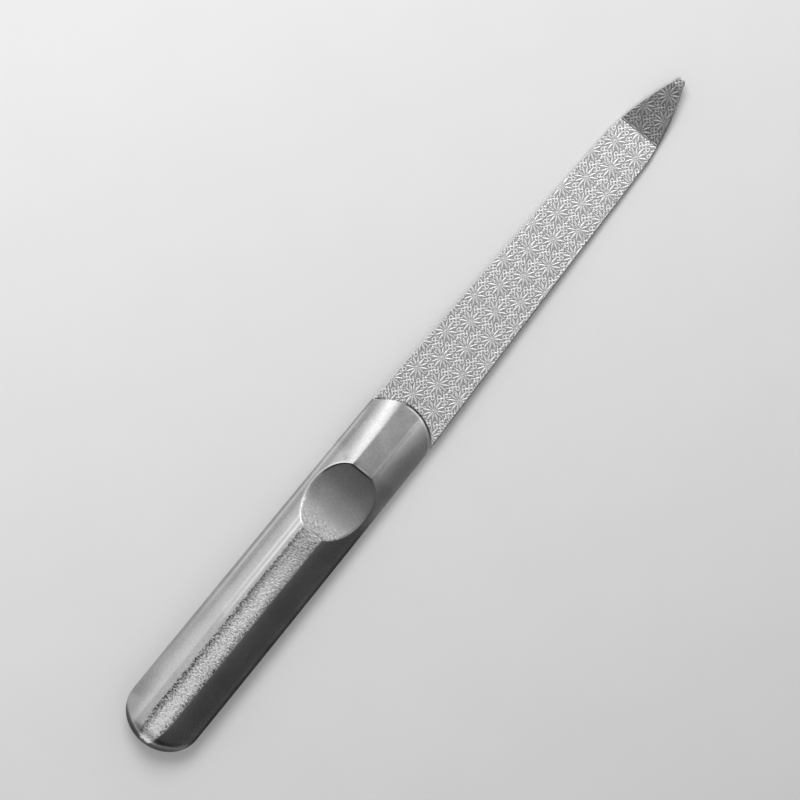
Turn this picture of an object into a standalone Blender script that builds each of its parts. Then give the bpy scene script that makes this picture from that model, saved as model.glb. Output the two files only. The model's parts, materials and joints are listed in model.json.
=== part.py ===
"""A double-sided metal nail file with a hollow pressed handle, in metres.

The file lies along X with its tip at +X. The blade's faces are square to Z, and the
origin is the middle of the whole object. The handle is two pressed half shells that
meet at the blade's mid-plane. The blade is one flat steel strip: its tang lies inside
the shells, its shoulders follow the arc of their mouth, and its tip is bent upwards.
Both faces of the blade carry the filing pattern, rosettes in a triangular grid.
"""

import math

import bmesh
import bpy
from mathutils import Vector

# Handle
HANDLE_LENGTH = 0.0828  # rear end to the middle of the mouth
REAR_WIDTH = 0.0158
MOUTH_WIDTH = 0.0148
HANDLE_THICKNESS = 0.0064  # over both shells, along the flat stretch of the facets
MOUTH_THICKNESS = 0.0031
FACET_WIDTH = 0.0046  # flat top between the two flanks
REAR_ROUNDING = 0.0070  # length over which the rear end closes in width
NOSE_ROUNDING = 0.0032  # shorter length over which it closes in height
FLAT_STRETCH = 0.0335  # length of facet that stays level, from the rear rounding on
SHELL_WALL = 0.0004
SEAM_GAP = 0.00016
FLANK_BULGE = math.radians(15.0)  # from a flank's chord to its slope at either end

# Mouth of the handle, an arc in plan that bulges towards the blade
MOUTH_SPAN = 0.0135
MOUTH_DEPTH = 0.0032  # how far the arc's ends lie behind its middle

# Thumb rest, a round scoop across each face of the handle
THUMB_LENGTH = 0.01525
THUMB_DEPTH = 0.00165  # below the straight line between its ends
THUMB_SETBACK = 0.0230  # middle of the mouth to the middle of the scoop

# Blade
BLADE_LENGTH = 0.0689  # middle of the mouth to the bend
BLADE_THICKNESS = 0.0010
BEND_WIDTH = 0.0101  # width that the straight sides would reach at the bend
EDGE_BEVEL = 0.0003
TANG_LENGTH = 0.0340  # behind the shoulders
TANG_END_RADIUS = 0.0030
TANG_CLEARANCE = 0.0002  # to the shells' inside, all round at the mouth
SHOULDER_CLEARANCE = 0.0002  # from the shoulders to the mouth's edge

# Tip, measured along the bent sheet
TIP_LENGTH = 0.01355  # bend to the very end
TIP_CURVE_LEAD = 0.0034  # the sides start to curve in this far before the bend
TIP_CURVE_RADIUS = 0.058
TIP_END_RADIUS = 0.00115
TIP_ANGLE = math.radians(11.0)
BEND_RADIUS = 0.0012  # of the sheet's mid-plane

# Filing pattern: pointed rosettes in columns across both faces of the blade. Its rows
# run slightly off the blade's axis and cross it at the bend.
ROSETTE_SPACING = 0.0052  # along a column
COLUMN_SPACING = 0.00446
FIRST_COLUMN = 0.0009  # from the shoulders
PATTERN_TURN = math.radians(0.6)
ROSETTE_RADIUS = 0.0023
ROSETTE_VALLEY_RADIUS = 0.0011
ROSETTE_HEIGHT = 0.00008
ROSETTE_PETALS = 12
PLAIN_MARGIN = 0.0001  # bare strip between the pattern and the edge bevels

# Extra length that lets each cut run clear of what it cuts, and each join sink in
OVERRUN = 0.0010
RELIEF_ROOT = 0.00005
WELD = 0.000001  # points closer than this are one

# Facets of the curved shapes
FLANK_STEPS = 10
SHOULDER_STEPS = 4
ROUNDING_STEPS = 10
STRAIGHT_STEPS = 3
TAPER_STEPS = 14
ARC_STEPS = 12
TIP_END_STEPS = 6
BEND_STEPS = 3
SCOOP_SIDES = 200

HALF_LENGTH = (
    HANDLE_LENGTH
    + BLADE_LENGTH
    + BEND_RADIUS * math.sin(TIP_ANGLE)
    + (TIP_LENGTH - BEND_RADIUS * TIP_ANGLE) * math.cos(TIP_ANGLE)
) / 2
REAR_X = -HALF_LENGTH
MOUTH_X = REAR_X + HANDLE_LENGTH
CORNER_X = MOUTH_X - MOUTH_DEPTH
BEND_X = MOUTH_X + BLADE_LENGTH
SHOULDER_X = CORNER_X + SHOULDER_CLEARANCE
MOUTH_RADIUS = ((MOUTH_SPAN / 2) ** 2 + MOUTH_DEPTH**2) / (2 * MOUTH_DEPTH)
SEAM_Z = SEAM_GAP / 2


def half_width_at(x):
    """Outer half width of the handle, which narrows faster towards the mouth."""
    along = (x - REAR_X) / HANDLE_LENGTH
    return (REAR_WIDTH + (MOUTH_WIDTH - REAR_WIDTH) * along * abs(along)) / 2


def half_thickness_at(x):
    """Outer half thickness of the handle: level at the rear, lower towards the mouth."""
    taper_start = REAR_X + REAR_ROUNDING + FLAT_STRETCH
    along = max(0.0, (x - taper_start) / (MOUTH_X - taper_start))
    return (HANDLE_THICKNESS + (MOUTH_THICKNESS - HANDLE_THICKNESS) * along**2) / 2


def stations(inset, front_x):
    """Places along X for the sections, with the shares of their full width and height."""
    length = REAR_ROUNDING - inset
    nose = NOSE_ROUNDING - inset
    found = []
    for step in range(1, ROUNDING_STEPS + 1):
        turn = math.radians(90.0) * step / ROUNDING_STEPS
        ahead = length * (1 - math.cos(turn))
        to_level = max(0.0, 1 - ahead / nose)
        found.append((REAR_X + inset + ahead, math.sin(turn), math.sqrt(1 - to_level**2)))
    level_start = REAR_X + REAR_ROUNDING
    for step in range(1, STRAIGHT_STEPS + 1):
        found.append((level_start + FLAT_STRETCH * step / STRAIGHT_STEPS, 1.0, 1.0))
    taper_start = level_start + FLAT_STRETCH
    for step in range(1, TAPER_STEPS + 1):
        x = taper_start + (front_x - taper_start) * step / TAPER_STEPS
        found.append((x, 1.0, 1.0))
    return found


def flank_ends(x, inset):
    """Upper and lower end of a flank, across and up, set in for the wall's inside."""
    high = Vector((FACET_WIDTH / 2, half_thickness_at(x)))
    low = Vector((half_width_at(x), SEAM_Z))
    fall = math.atan2(high.y - low.y, low.x - high.x)
    high.y -= inset
    low.x -= inset / math.sin(fall + FLANK_BULGE)
    return high, low


def flank_radius(high, low):
    """Radius of a flank's arc, which never rises above the facet."""
    chord = low - high
    bulge = min(FLANK_BULGE, math.atan2(-chord.y, chord.x))
    return chord.length / (2 * math.sin(bulge))


def section(x, width_share, height_share, inset, skirt_z):
    """One section of the handle's arch: flank, level facet, flank, and a flat base."""
    high, low = flank_ends(x, inset)
    high = Vector((high.x * width_share, SEAM_Z + (high.y - SEAM_Z) * height_share))
    low = Vector((low.x * width_share, SEAM_Z))
    flank = [high, *arc(high, low, flank_radius(high, low), FLANK_STEPS)]
    half = flank + [Vector((low.x, skirt_z))] if skirt_z < SEAM_Z else flank
    arch = [(y, z) for y, z in reversed(half)] + [(-y, z) for y, z in half]
    return [Vector((x, y, z)) for y, z in arch]


def arch_body(name, inset, skirt_z, front_x):
    """A closed body lofted through the arch sections, from a point at the rear end."""
    shape = bmesh.new()
    rings = []
    for x, width_share, height_share in stations(inset, front_x):
        points = section(x, width_share, height_share, inset, skirt_z)
        rings.append([shape.verts.new(point) for point in points])
    rear_top = shape.verts.new((REAR_X + inset, 0.0, SEAM_Z))
    count = len(rings[0])
    first = rings[0]
    if skirt_z < SEAM_Z:
        rear_low = shape.verts.new((REAR_X + inset, 0.0, skirt_z))
        shape.faces.new((rear_low, rear_top, first[1], first[0]))
        shape.faces.new((rear_top, rear_low, first[-1], first[-2]))
        shape.faces.new((rear_low, first[0], first[-1]))
        fan = first[1:-1]
    else:
        shape.faces.new((rear_top, first[0], first[-1]))
        fan = first
    for low, high in zip(fan, fan[1:]):
        shape.faces.new((rear_top, high, low))
    for near, far in zip(rings, rings[1:]):
        for index in range(count):
            after = (index + 1) % count
            shape.faces.new((near[index], near[after], far[after], far[index]))
    shape.faces.new(rings[-1])
    bmesh.ops.recalc_face_normals(shape, faces=shape.faces)
    return new_object(name, shape)


def new_object(name, shape):
    """An object in the scene made from a bmesh, which is freed."""
    mesh = bpy.data.meshes.new(name)
    shape.to_mesh(mesh)
    shape.free()
    made = bpy.data.objects.new(name, mesh)
    bpy.context.scene.collection.objects.link(made)
    return made


def arc_centre(start, end, radius):
    """Centre of the arc that turns clockwise from start to end."""
    chord = end - start
    rise = math.sqrt(radius**2 - (chord.length / 2) ** 2)
    return (start + end) / 2 + Vector((chord.y, -chord.x)).normalized() * rise


def arc(start, end, radius, steps):
    """Points after start, up to end, on an arc that turns clockwise between them."""
    start = Vector(start)
    end = Vector(end)
    centre = arc_centre(start, end, radius)
    first = math.atan2(start.y - centre.y, start.x - centre.x)
    last = math.atan2(end.y - centre.y, end.x - centre.x)
    points = []
    for step in range(1, steps + 1):
        turn = first + (last - first) * step / steps
        points.append(centre + radius * Vector((math.cos(turn), math.sin(turn))))
    return points


def flat_plate(name, outline, thickness):
    """A closed plate of the given outline, centred on Z, made from a filled 2D curve."""
    curve = bpy.data.curves.new(name, "CURVE")
    curve.dimensions = "2D"
    curve.fill_mode = "BOTH"
    curve.extrude = thickness / 2
    spline = curve.splines.new("POLY")
    spline.points.add(len(outline) - 1)
    for point, (x, y) in zip(spline.points, outline):
        point.co = (x, y, 0.0, 1.0)
    spline.use_cyclic_u = True
    drawn = bpy.data.objects.new(name, curve)
    bpy.context.scene.collection.objects.link(drawn)
    shape = bmesh.new()
    shape.from_mesh(evaluated_mesh(drawn))
    bpy.data.objects.remove(drawn)
    bmesh.ops.remove_doubles(shape, verts=shape.verts, dist=WELD)
    bmesh.ops.dissolve_limit(
        shape, angle_limit=math.radians(1.0), verts=shape.verts, edges=shape.edges
    )
    bmesh.ops.recalc_face_normals(shape, faces=shape.faces)
    return shape


def cylinder_across(name, radius, x, z):
    """A cutter: a cylinder lying across the handle."""
    bpy.ops.mesh.primitive_cylinder_add(
        vertices=SCOOP_SIDES,
        radius=radius,
        depth=REAR_WIDTH + 2 * OVERRUN,
        location=(x, 0.0, z),
        rotation=(math.radians(90.0), 0.0, 0.0),
    )
    made = bpy.context.object
    made.name = name
    return made


def boolean(target, other, label, operation):
    """A Boolean modifier on the target."""
    step = target.modifiers.new(label, "BOOLEAN")
    step.operation = operation
    step.solver = "EXACT"
    step.object = other


def evaluated_mesh(built):
    """A new mesh of the object with its modifiers applied."""
    bpy.context.view_layer.update()
    evaluated = built.evaluated_get(bpy.context.evaluated_depsgraph_get())
    return bpy.data.meshes.new_from_object(evaluated)


def mouth_outline():
    """Plan outline of what the mouth cuts off: all that lies in front of its arc."""
    side = REAR_WIDTH / 2 + OVERRUN
    front_x = MOUTH_X + 3 * OVERRUN
    left_end = (CORNER_X, MOUTH_SPAN / 2)
    right_end = (CORNER_X, -MOUTH_SPAN / 2)
    arc_points = arc(left_end, right_end, MOUTH_RADIUS, ARC_STEPS)
    return (
        [(front_x, side), (CORNER_X, side), left_end]
        + [tuple(point) for point in arc_points]
        + [(CORNER_X, -side), (front_x, -side)]
    )


def scoop_circle():
    """Radius and axis of the scoop, whose arc joins its two ends on the facet."""
    rear_x = MOUTH_X - THUMB_SETBACK - THUMB_LENGTH / 2
    front_x = rear_x + THUMB_LENGTH
    rear = Vector((rear_x, half_thickness_at(rear_x)))
    front = Vector((front_x, half_thickness_at(front_x)))
    chord = front - rear
    radius = ((chord.length / 2) ** 2 + THUMB_DEPTH**2) / (2 * THUMB_DEPTH)
    upward = Vector((-chord.y, chord.x)).normalized()
    return radius, (rear + front) / 2 + upward * (radius - THUMB_DEPTH)


def shell_mesh():
    """One pressed half shell, for the upper half of the handle."""
    front_x = MOUTH_X + OVERRUN
    pressing = arch_body("shell_pressing", 0.0, SEAM_Z, front_x)
    core = arch_body("core_cutter", SHELL_WALL, -OVERRUN, front_x + OVERRUN)

    radius, axis = scoop_circle()
    scoop = cylinder_across("thumb_cutter", radius, axis.x, axis.y)
    liner = cylinder_across("thumb_liner_cutter", radius + SHELL_WALL, axis.x, axis.y)
    boolean(core, liner, "thumb_floor", "DIFFERENCE")

    mouth = new_object(
        "mouth_cutter",
        flat_plate("mouth_cutter", mouth_outline(), HANDLE_THICKNESS + 2 * OVERRUN),
    )
    boolean(pressing, scoop, "thumb_rest", "DIFFERENCE")
    boolean(pressing, core, "hollow", "DIFFERENCE")
    boolean(pressing, mouth, "mouth", "DIFFERENCE")
    mesh = evaluated_mesh(pressing)
    bpy.data.objects.remove(pressing)
    for cutter in (scoop, liner, core, mouth):
        set_aside(cutter)
    return mesh


def tang_half_width():
    """Widest tang whose corners clear the inside of the handle's mouth."""
    high, low = flank_ends(CORNER_X, SHELL_WALL)
    radius = flank_radius(high, low)
    centre = arc_centre(high, low, radius)
    corner = BLADE_THICKNESS / 2 + TANG_CLEARANCE - centre.y
    return centre.x + math.sqrt(radius**2 - corner**2) - TANG_CLEARANCE


def shoulder_outline(clearance):
    """Plan outline of one shoulder, from the tang out along the mouth's arc."""
    reach = MOUTH_RADIUS + clearance
    centre_x = MOUTH_X - MOUTH_RADIUS
    neck_y = tang_half_width()
    neck = Vector((centre_x + math.sqrt(reach**2 - neck_y**2), neck_y))
    back = SHOULDER_X - centre_x
    corner = Vector((SHOULDER_X, math.sqrt(reach**2 - back**2)))
    return [corner, *arc(corner, neck, reach, SHOULDER_STEPS)][::-1]


def tip_outline(inset):
    """Plan outline of one side of the unbent blade, from its shoulder to its very end."""
    shoulder = half_width_at(SHOULDER_X)
    taper = (shoulder - BEND_WIDTH / 2) / (BEND_X - SHOULDER_X)
    curve_x = BEND_X - TIP_CURVE_LEAD
    curve_y = shoulder - taper * (curve_x - SHOULDER_X) - inset
    end_radius = TIP_END_RADIUS - inset
    end_x = BEND_X + TIP_LENGTH - TIP_END_RADIUS
    return [
        Vector((SHOULDER_X, shoulder - inset)),
        Vector((curve_x, curve_y)),
        *arc((curve_x, curve_y), (end_x, end_radius), TIP_CURVE_RADIUS, ARC_STEPS),
        *arc((end_x, end_radius), (end_x + end_radius, 0.0), end_radius, TIP_END_STEPS),
    ]


def both_sides(upper):
    """A closed outline from the points of its upper side, the last one on the axis."""
    return [(x, y) for x, y in upper] + [(x, -y) for x, y in reversed(upper[:-1])]


def blade_outline():
    """Plan outline of the flat strip before its tip is bent."""
    tang_x = SHOULDER_X - TANG_LENGTH
    tang_y = tang_half_width()
    start = Vector((tang_x, tang_y - TANG_END_RADIUS))
    corner = Vector((tang_x + TANG_END_RADIUS, tang_y))
    tang = [start, *arc(start, corner, TANG_END_RADIUS, TIP_END_STEPS)]
    shoulder = shoulder_outline(SHOULDER_CLEARANCE)
    return both_sides(tang + shoulder + tip_outline(0.0))


def rosette_places():
    """Centres of the rosettes, every other column shifted by half a spacing."""
    columns = math.ceil((HALF_LENGTH - SHOULDER_X) / COLUMN_SPACING)
    rows = math.ceil(REAR_WIDTH / ROSETTE_SPACING / 2)
    places = []
    for index in range(columns + 1):
        x = SHOULDER_X + FIRST_COLUMN + COLUMN_SPACING * index
        shift = ROSETTE_SPACING / 2 if index % 2 else 0.0
        drift = (x - BEND_X) * math.tan(PATTERN_TURN)
        for row in range(-rows, rows + 1):
            places.append((x, ROSETTE_SPACING * row + shift + drift))
    return places


def add_rosette(shape, x, y, face_z, side):
    """A low pointed star that stands out of one face of the blade, as a closed body."""
    rim = []
    for step in range(2 * ROSETTE_PETALS):
        radius = ROSETTE_VALLEY_RADIUS if step % 2 else ROSETTE_RADIUS
        turn = math.radians(180.0) * step / ROSETTE_PETALS
        rim.append((x + radius * math.cos(turn), y + radius * math.sin(turn)))
    low_z = (face_z - RELIEF_ROOT) * side
    low = [shape.verts.new((px, py, low_z)) for px, py in rim]
    high = [shape.verts.new((px, py, face_z * side)) for px, py in rim]
    peak = shape.verts.new((x, y, (face_z + ROSETTE_HEIGHT) * side))
    shape.faces.new(low)
    for index in range(len(rim)):
        after = (index + 1) % len(rim)
        shape.faces.new((low[index], low[after], high[after], high[index]))
        shape.faces.new((high[index], high[after], peak))


def bend_tip(shape):
    """Bends all that lies beyond the bend line upwards, round an arc of the sheet."""
    arc_length = BEND_RADIUS * TIP_ANGLE
    for step in range(BEND_STEPS + 1):
        line = Vector((BEND_X + arc_length * step / BEND_STEPS, 0.0, 0.0))
        geometry = shape.verts[:] + shape.edges[:] + shape.faces[:]
        bmesh.ops.bisect_plane(
            shape, geom=geometry, dist=WELD, plane_co=line, plane_no=(1, 0, 0)
        )
    for vert in shape.verts:
        along = vert.co.x - BEND_X
        if along <= 0.0:
            continue
        turn = min(along / BEND_RADIUS, TIP_ANGLE)
        beyond = max(along - arc_length, 0.0)
        reach = BEND_RADIUS - vert.co.z
        vert.co.x = BEND_X + reach * math.sin(turn) + beyond * math.cos(turn)
        vert.co.z = BEND_RADIUS - reach * math.cos(turn) + beyond * math.sin(turn)


def blade_mesh():
    """The blade: a flat strip with bevelled edges, rosettes, a tang and a bent tip."""
    shape = flat_plate("blank", blade_outline(), BLADE_THICKNESS)
    rims = [
        edge
        for edge in shape.edges
        if abs(edge.verts[0].co.z - edge.verts[1].co.z) < EDGE_BEVEL
        and edge.calc_face_angle() > math.radians(45.0)
        and max(vert.co.x for vert in edge.verts) > MOUTH_X
    ]
    bmesh.ops.bevel(
        shape, geom=rims, offset=EDGE_BEVEL, offset_type="OFFSET", segments=1, affect="EDGES"
    )
    bmesh.ops.recalc_face_normals(shape, faces=shape.faces)
    blank = new_object("blank", shape)

    stars = bmesh.new()
    for x, y in rosette_places():
        for side in (-1, 1):
            add_rosette(stars, x, y, BLADE_THICKNESS / 2, side)
    bmesh.ops.recalc_face_normals(stars, faces=stars.faces)
    relief = new_object("relief", stars)
    etched_area = both_sides(
        shoulder_outline(SHOULDER_CLEARANCE + PLAIN_MARGIN)
        + tip_outline(EDGE_BEVEL + PLAIN_MARGIN)
    )
    limit = new_object(
        "relief_limit_cutter",
        flat_plate("relief_limit_cutter", etched_area, BLADE_THICKNESS + 2 * OVERRUN),
    )
    boolean(relief, limit, "etched_area", "INTERSECT")
    boolean(blank, relief, "filing_pattern", "UNION")

    flat = bmesh.new()
    flat.from_mesh(evaluated_mesh(blank))
    bpy.data.objects.remove(blank)
    bpy.data.objects.remove(relief)
    set_aside(limit)
    bmesh.ops.remove_doubles(flat, verts=flat.verts, dist=WELD)
    bend_tip(flat)
    bmesh.ops.triangulate(flat, faces=flat.faces)
    mesh = bpy.data.meshes.new("file_blade")
    flat.to_mesh(mesh)
    flat.free()
    return mesh


def set_aside(cutter):
    """Keeps a cutter in the file, out of the render."""
    for holder in cutter.users_collection:
        holder.objects.unlink(cutter)
    CUTTERS.objects.link(cutter)
    cutter.hide_render = True
    cutter.display_type = "WIRE"


def metal(name, colour, roughness):
    """A plain metal."""
    material = bpy.data.materials.new(name)
    material.use_nodes = True
    surface = material.node_tree.nodes["Principled BSDF"]
    surface.inputs["Base Color"].default_value = (*colour, 1.0)
    surface.inputs["Metallic"].default_value = 1.0
    surface.inputs["Roughness"].default_value = roughness
    return material


def add_part(name, mesh, material):
    """A named piece of the nail file."""
    part = bpy.data.objects.new(name, mesh)
    PARTS.objects.link(part)
    part.data.materials.clear()
    part.data.materials.append(material)
    part.data.shade_smooth()
    part.data.set_sharp_from_angle(angle=math.radians(25.0))
    return part


for old in list(bpy.data.objects):
    bpy.data.objects.remove(old)

PARTS = bpy.data.collections.new("nail_file")
CUTTERS = bpy.data.collections.new("cutters")
bpy.context.scene.collection.children.link(PARTS)
bpy.context.scene.collection.children.link(CUTTERS)

pressed_steel = metal("pressed_steel", (0.60, 0.60, 0.60), 0.25)
etched_steel = metal("etched_steel", (0.52, 0.52, 0.52), 0.45)

half_shell = shell_mesh()
add_part("handle_front_shell", half_shell, pressed_steel)
back_shell = add_part("handle_back_shell", half_shell.copy(), pressed_steel)
back_shell.rotation_euler.x = math.radians(180.0)
add_part("file_blade", blade_mesh(), etched_steel)
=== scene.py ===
"""Looks of a metal nail file: a pressed hollow handle and a blade etched with rosettes.

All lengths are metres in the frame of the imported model. The file lies along X with its
tip at +X, and the blade's faces are square to Z.
"""

import json
import logging
import math
from collections.abc import Callable, Iterator
from contextlib import contextmanager
from dataclasses import dataclass
from enum import Enum
from functools import cached_property, partial, reduce
from typing import NamedTuple

import bmesh
import bpy
from mathutils import Matrix, Vector

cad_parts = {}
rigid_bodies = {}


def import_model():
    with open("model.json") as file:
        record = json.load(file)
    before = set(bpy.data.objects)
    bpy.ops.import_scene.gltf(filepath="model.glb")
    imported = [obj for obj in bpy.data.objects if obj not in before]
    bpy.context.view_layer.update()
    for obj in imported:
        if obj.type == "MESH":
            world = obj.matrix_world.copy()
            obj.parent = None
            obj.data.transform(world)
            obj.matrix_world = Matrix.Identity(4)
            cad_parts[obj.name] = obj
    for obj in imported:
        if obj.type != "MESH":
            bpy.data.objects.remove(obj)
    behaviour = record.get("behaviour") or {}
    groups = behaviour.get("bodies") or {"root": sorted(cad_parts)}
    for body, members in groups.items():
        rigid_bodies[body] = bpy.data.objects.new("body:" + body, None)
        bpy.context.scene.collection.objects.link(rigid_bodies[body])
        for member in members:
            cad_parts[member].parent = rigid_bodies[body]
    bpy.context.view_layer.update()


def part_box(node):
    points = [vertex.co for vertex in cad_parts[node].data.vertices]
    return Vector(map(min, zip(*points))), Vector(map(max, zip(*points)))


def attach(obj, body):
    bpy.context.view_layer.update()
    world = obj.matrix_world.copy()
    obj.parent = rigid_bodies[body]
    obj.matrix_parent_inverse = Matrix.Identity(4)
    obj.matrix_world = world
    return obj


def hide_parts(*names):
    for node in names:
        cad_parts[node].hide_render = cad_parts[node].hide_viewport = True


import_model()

Piece = bpy.types.Object
Material = bpy.types.Material
Socket = bpy.types.NodeSocket
Number = Socket | float
Point = tuple[float, float]
Direction = tuple[float, float, float]
# Where a mask is 0 and where it is 1, or the lowest and highest value of a scale.
Span = tuple[float, float]

LOG = logging.getLogger("nail_file")
BODY = "root"
MERGE_DISTANCE = 1e-7


class Side(Enum):
    """Which half of the file a piece belongs to: the value is the sign of its Z."""

    FRONT = 1
    BACK = -1

    @property
    def label(self) -> str:
        """Its word in the names of pieces and nodes."""
        return self.name.lower()


# Modelling helpers


def deselect_all() -> None:
    """Leaves every object unselected, the imported nodes too."""
    for other in bpy.data.objects:
        other.select_set(False)


def activate(piece: Piece) -> None:
    """Makes a piece the only selected and active one.

    Args:
        piece: The object to work on.
    """
    deselect_all()
    piece.select_set(True)
    bpy.context.view_layer.objects.active = piece


@contextmanager
def editing(piece: Piece) -> Iterator[Piece]:
    """Opens a piece in edit mode with everything selected, and closes it afterwards.

    Args:
        piece: The mesh object to edit.

    Yields:
        The same object, in edit mode.
    """
    activate(piece)
    bpy.ops.object.mode_set(mode="EDIT")
    bpy.ops.mesh.select_mode(type="VERT")
    bpy.ops.mesh.select_all(action="SELECT")
    try:
        yield piece
    finally:
        bpy.ops.object.mode_set(mode="OBJECT")


def select_edges(piece: Piece, wanted: Callable[[bmesh.types.BMEdge], bool]) -> int:
    """Selects the edges of a piece in edit mode that pass a test.

    Args:
        piece: The object in edit mode.
        wanted: The test.

    Returns:
        How many are selected.
    """
    bpy.ops.mesh.select_mode(type="EDGE")
    bpy.ops.mesh.select_all(action="DESELECT")
    found = [edge for edge in bmesh.from_edit_mesh(piece.data).edges if wanted(edge)]
    for edge in found:
        edge.select_set(True)
    bmesh.update_edit_mesh(piece.data)
    return len(found)


def apply_modifier(piece: Piece, kind: str, **settings: object) -> None:
    """Adds a modifier to a piece, sets it and applies it at once.

    Args:
        piece: The object that gets it.
        kind: Blender's name for the modifier type.
        settings: Its properties.
    """
    activate(piece)
    step = piece.modifiers.new(kind.lower(), kind)
    for name, value in settings.items():
        setattr(step, name, value)
    bpy.ops.object.modifier_apply(modifier=step.name)


def flat_face(outline: list[Point], z: float) -> Piece:
    """Makes one flat face.

    Args:
        outline: Its corners, anticlockwise.
        z: Its height.

    Returns:
        The new object.
    """
    deselect_all()
    bpy.ops.mesh.primitive_circle_add(vertices=len(outline), fill_type="NGON")
    made = bpy.context.object
    for vertex, (x, y) in zip(made.data.vertices, outline):
        vertex.co = (x, y, z)
    return made


def extrude(height: float) -> None:
    """Raises what is selected in edit mode, with walls under it."""
    bpy.ops.mesh.extrude_region_move(TRANSFORM_OT_translate={"value": (0.0, 0.0, height)})


def resize(length: float, width: float) -> None:
    """Scales what is selected in edit mode along X and Y."""
    bpy.ops.transform.resize(value=(length, width, 1.0), center_override=(0.0, 0.0, 0.0))


def stamp(mesh: bpy.types.Mesh, matrix: Matrix) -> Piece:
    """Makes a copy of a mesh somewhere else.

    Args:
        mesh: What is copied.
        matrix: Where the copy goes.

    Returns:
        The copy as an object of its own.
    """
    copy = bpy.data.objects.new(mesh.name, mesh.copy())
    copy.data.transform(matrix)
    bpy.context.scene.collection.objects.link(copy)
    return copy


def join(parts: list[Piece]) -> Piece:
    """Joins objects into one.

    Args:
        parts: The objects, which are used up apart from the first.

    Returns:
        The first, with all of them in it.
    """
    activate(parts[0])
    for part in parts:
        part.select_set(True)
    bpy.ops.object.join()
    return parts[0]


def drop(tool: Piece) -> None:
    """Removes an object that only served as a tool."""
    bpy.data.objects.remove(tool)


def smooth(piece: Piece, degrees: float) -> None:
    """Shades a piece smooth, apart from edges sharper than an angle."""
    activate(piece)
    bpy.ops.object.shade_smooth_by_angle(angle=math.radians(degrees))


def outward(piece: Piece) -> None:
    """Merges doubled points and turns every face outwards.

    Args:
        piece: The object to clean.
    """
    with editing(piece):
        bpy.ops.mesh.remove_doubles(threshold=MERGE_DISTANCE)
        bpy.ops.mesh.normals_make_consistent(inside=False)


def place(piece: Piece, name: str, slot: str, *nodes: str) -> None:
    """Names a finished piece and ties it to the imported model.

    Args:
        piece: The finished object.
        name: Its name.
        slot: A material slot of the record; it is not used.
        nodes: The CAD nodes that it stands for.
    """
    piece.name = name
    piece.data.name = name
    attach(piece, BODY)
    if nodes:
        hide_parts(*nodes)
    LOG.info("%s: %d faces", name, len(piece.data.polygons))


# Filing pattern


class Petal(Enum):
    """How far a petal turns from the blade's length, with its width in metres."""

    ALONG = (0, 0.00058)
    LEANING = (30, 0.00046)
    SLANTING = (60, 0.00050)
    ACROSS = (90, 0.00036)


@dataclass(frozen=True)
class RosetteGrid:
    """Where the rosettes stand on the flat blade, and how far their petals reach."""

    first_x: float
    bend_x: float
    tip_angle: float
    rosette_spacing: float = 0.0052
    column_spacing: float = 0.00446
    turn: float = math.radians(0.6)
    petal_start: float = 0.00042
    petal_end: float = 0.00238
    rows_each_way: int = 2

    @property
    def petal_length(self) -> float:
        """Length of a petal from end to end."""
        return self.petal_end - self.petal_start

    @property
    def petal_middle(self) -> float:
        """How far a petal's middle is from that of its rosette."""
        return (self.petal_end + self.petal_start) / 2

    def drift(self, x: float) -> float:
        """How far the rows have moved to +Y at a place along the blade."""
        return (x - self.bend_x) * math.tan(self.turn)

    def places(self, end_x: float) -> list[Point]:
        """Centres of the rosettes, every other column shifted by half a spacing.

        Args:
            end_x: The blade's very end, before it is bent.

        Returns:
            The X and Y of each centre.
        """
        found = []
        for index in range(math.ceil((end_x - self.first_x) / self.column_spacing) + 1):
            x = self.first_x + self.column_spacing * index
            shift = self.rosette_spacing / 2 if index % 2 else 0.0
            for row in range(-self.rows_each_way, self.rows_each_way + 1):
                found.append((x, self.rosette_spacing * row + shift + self.drift(x)))
        return found


# Shader nodes


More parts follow.
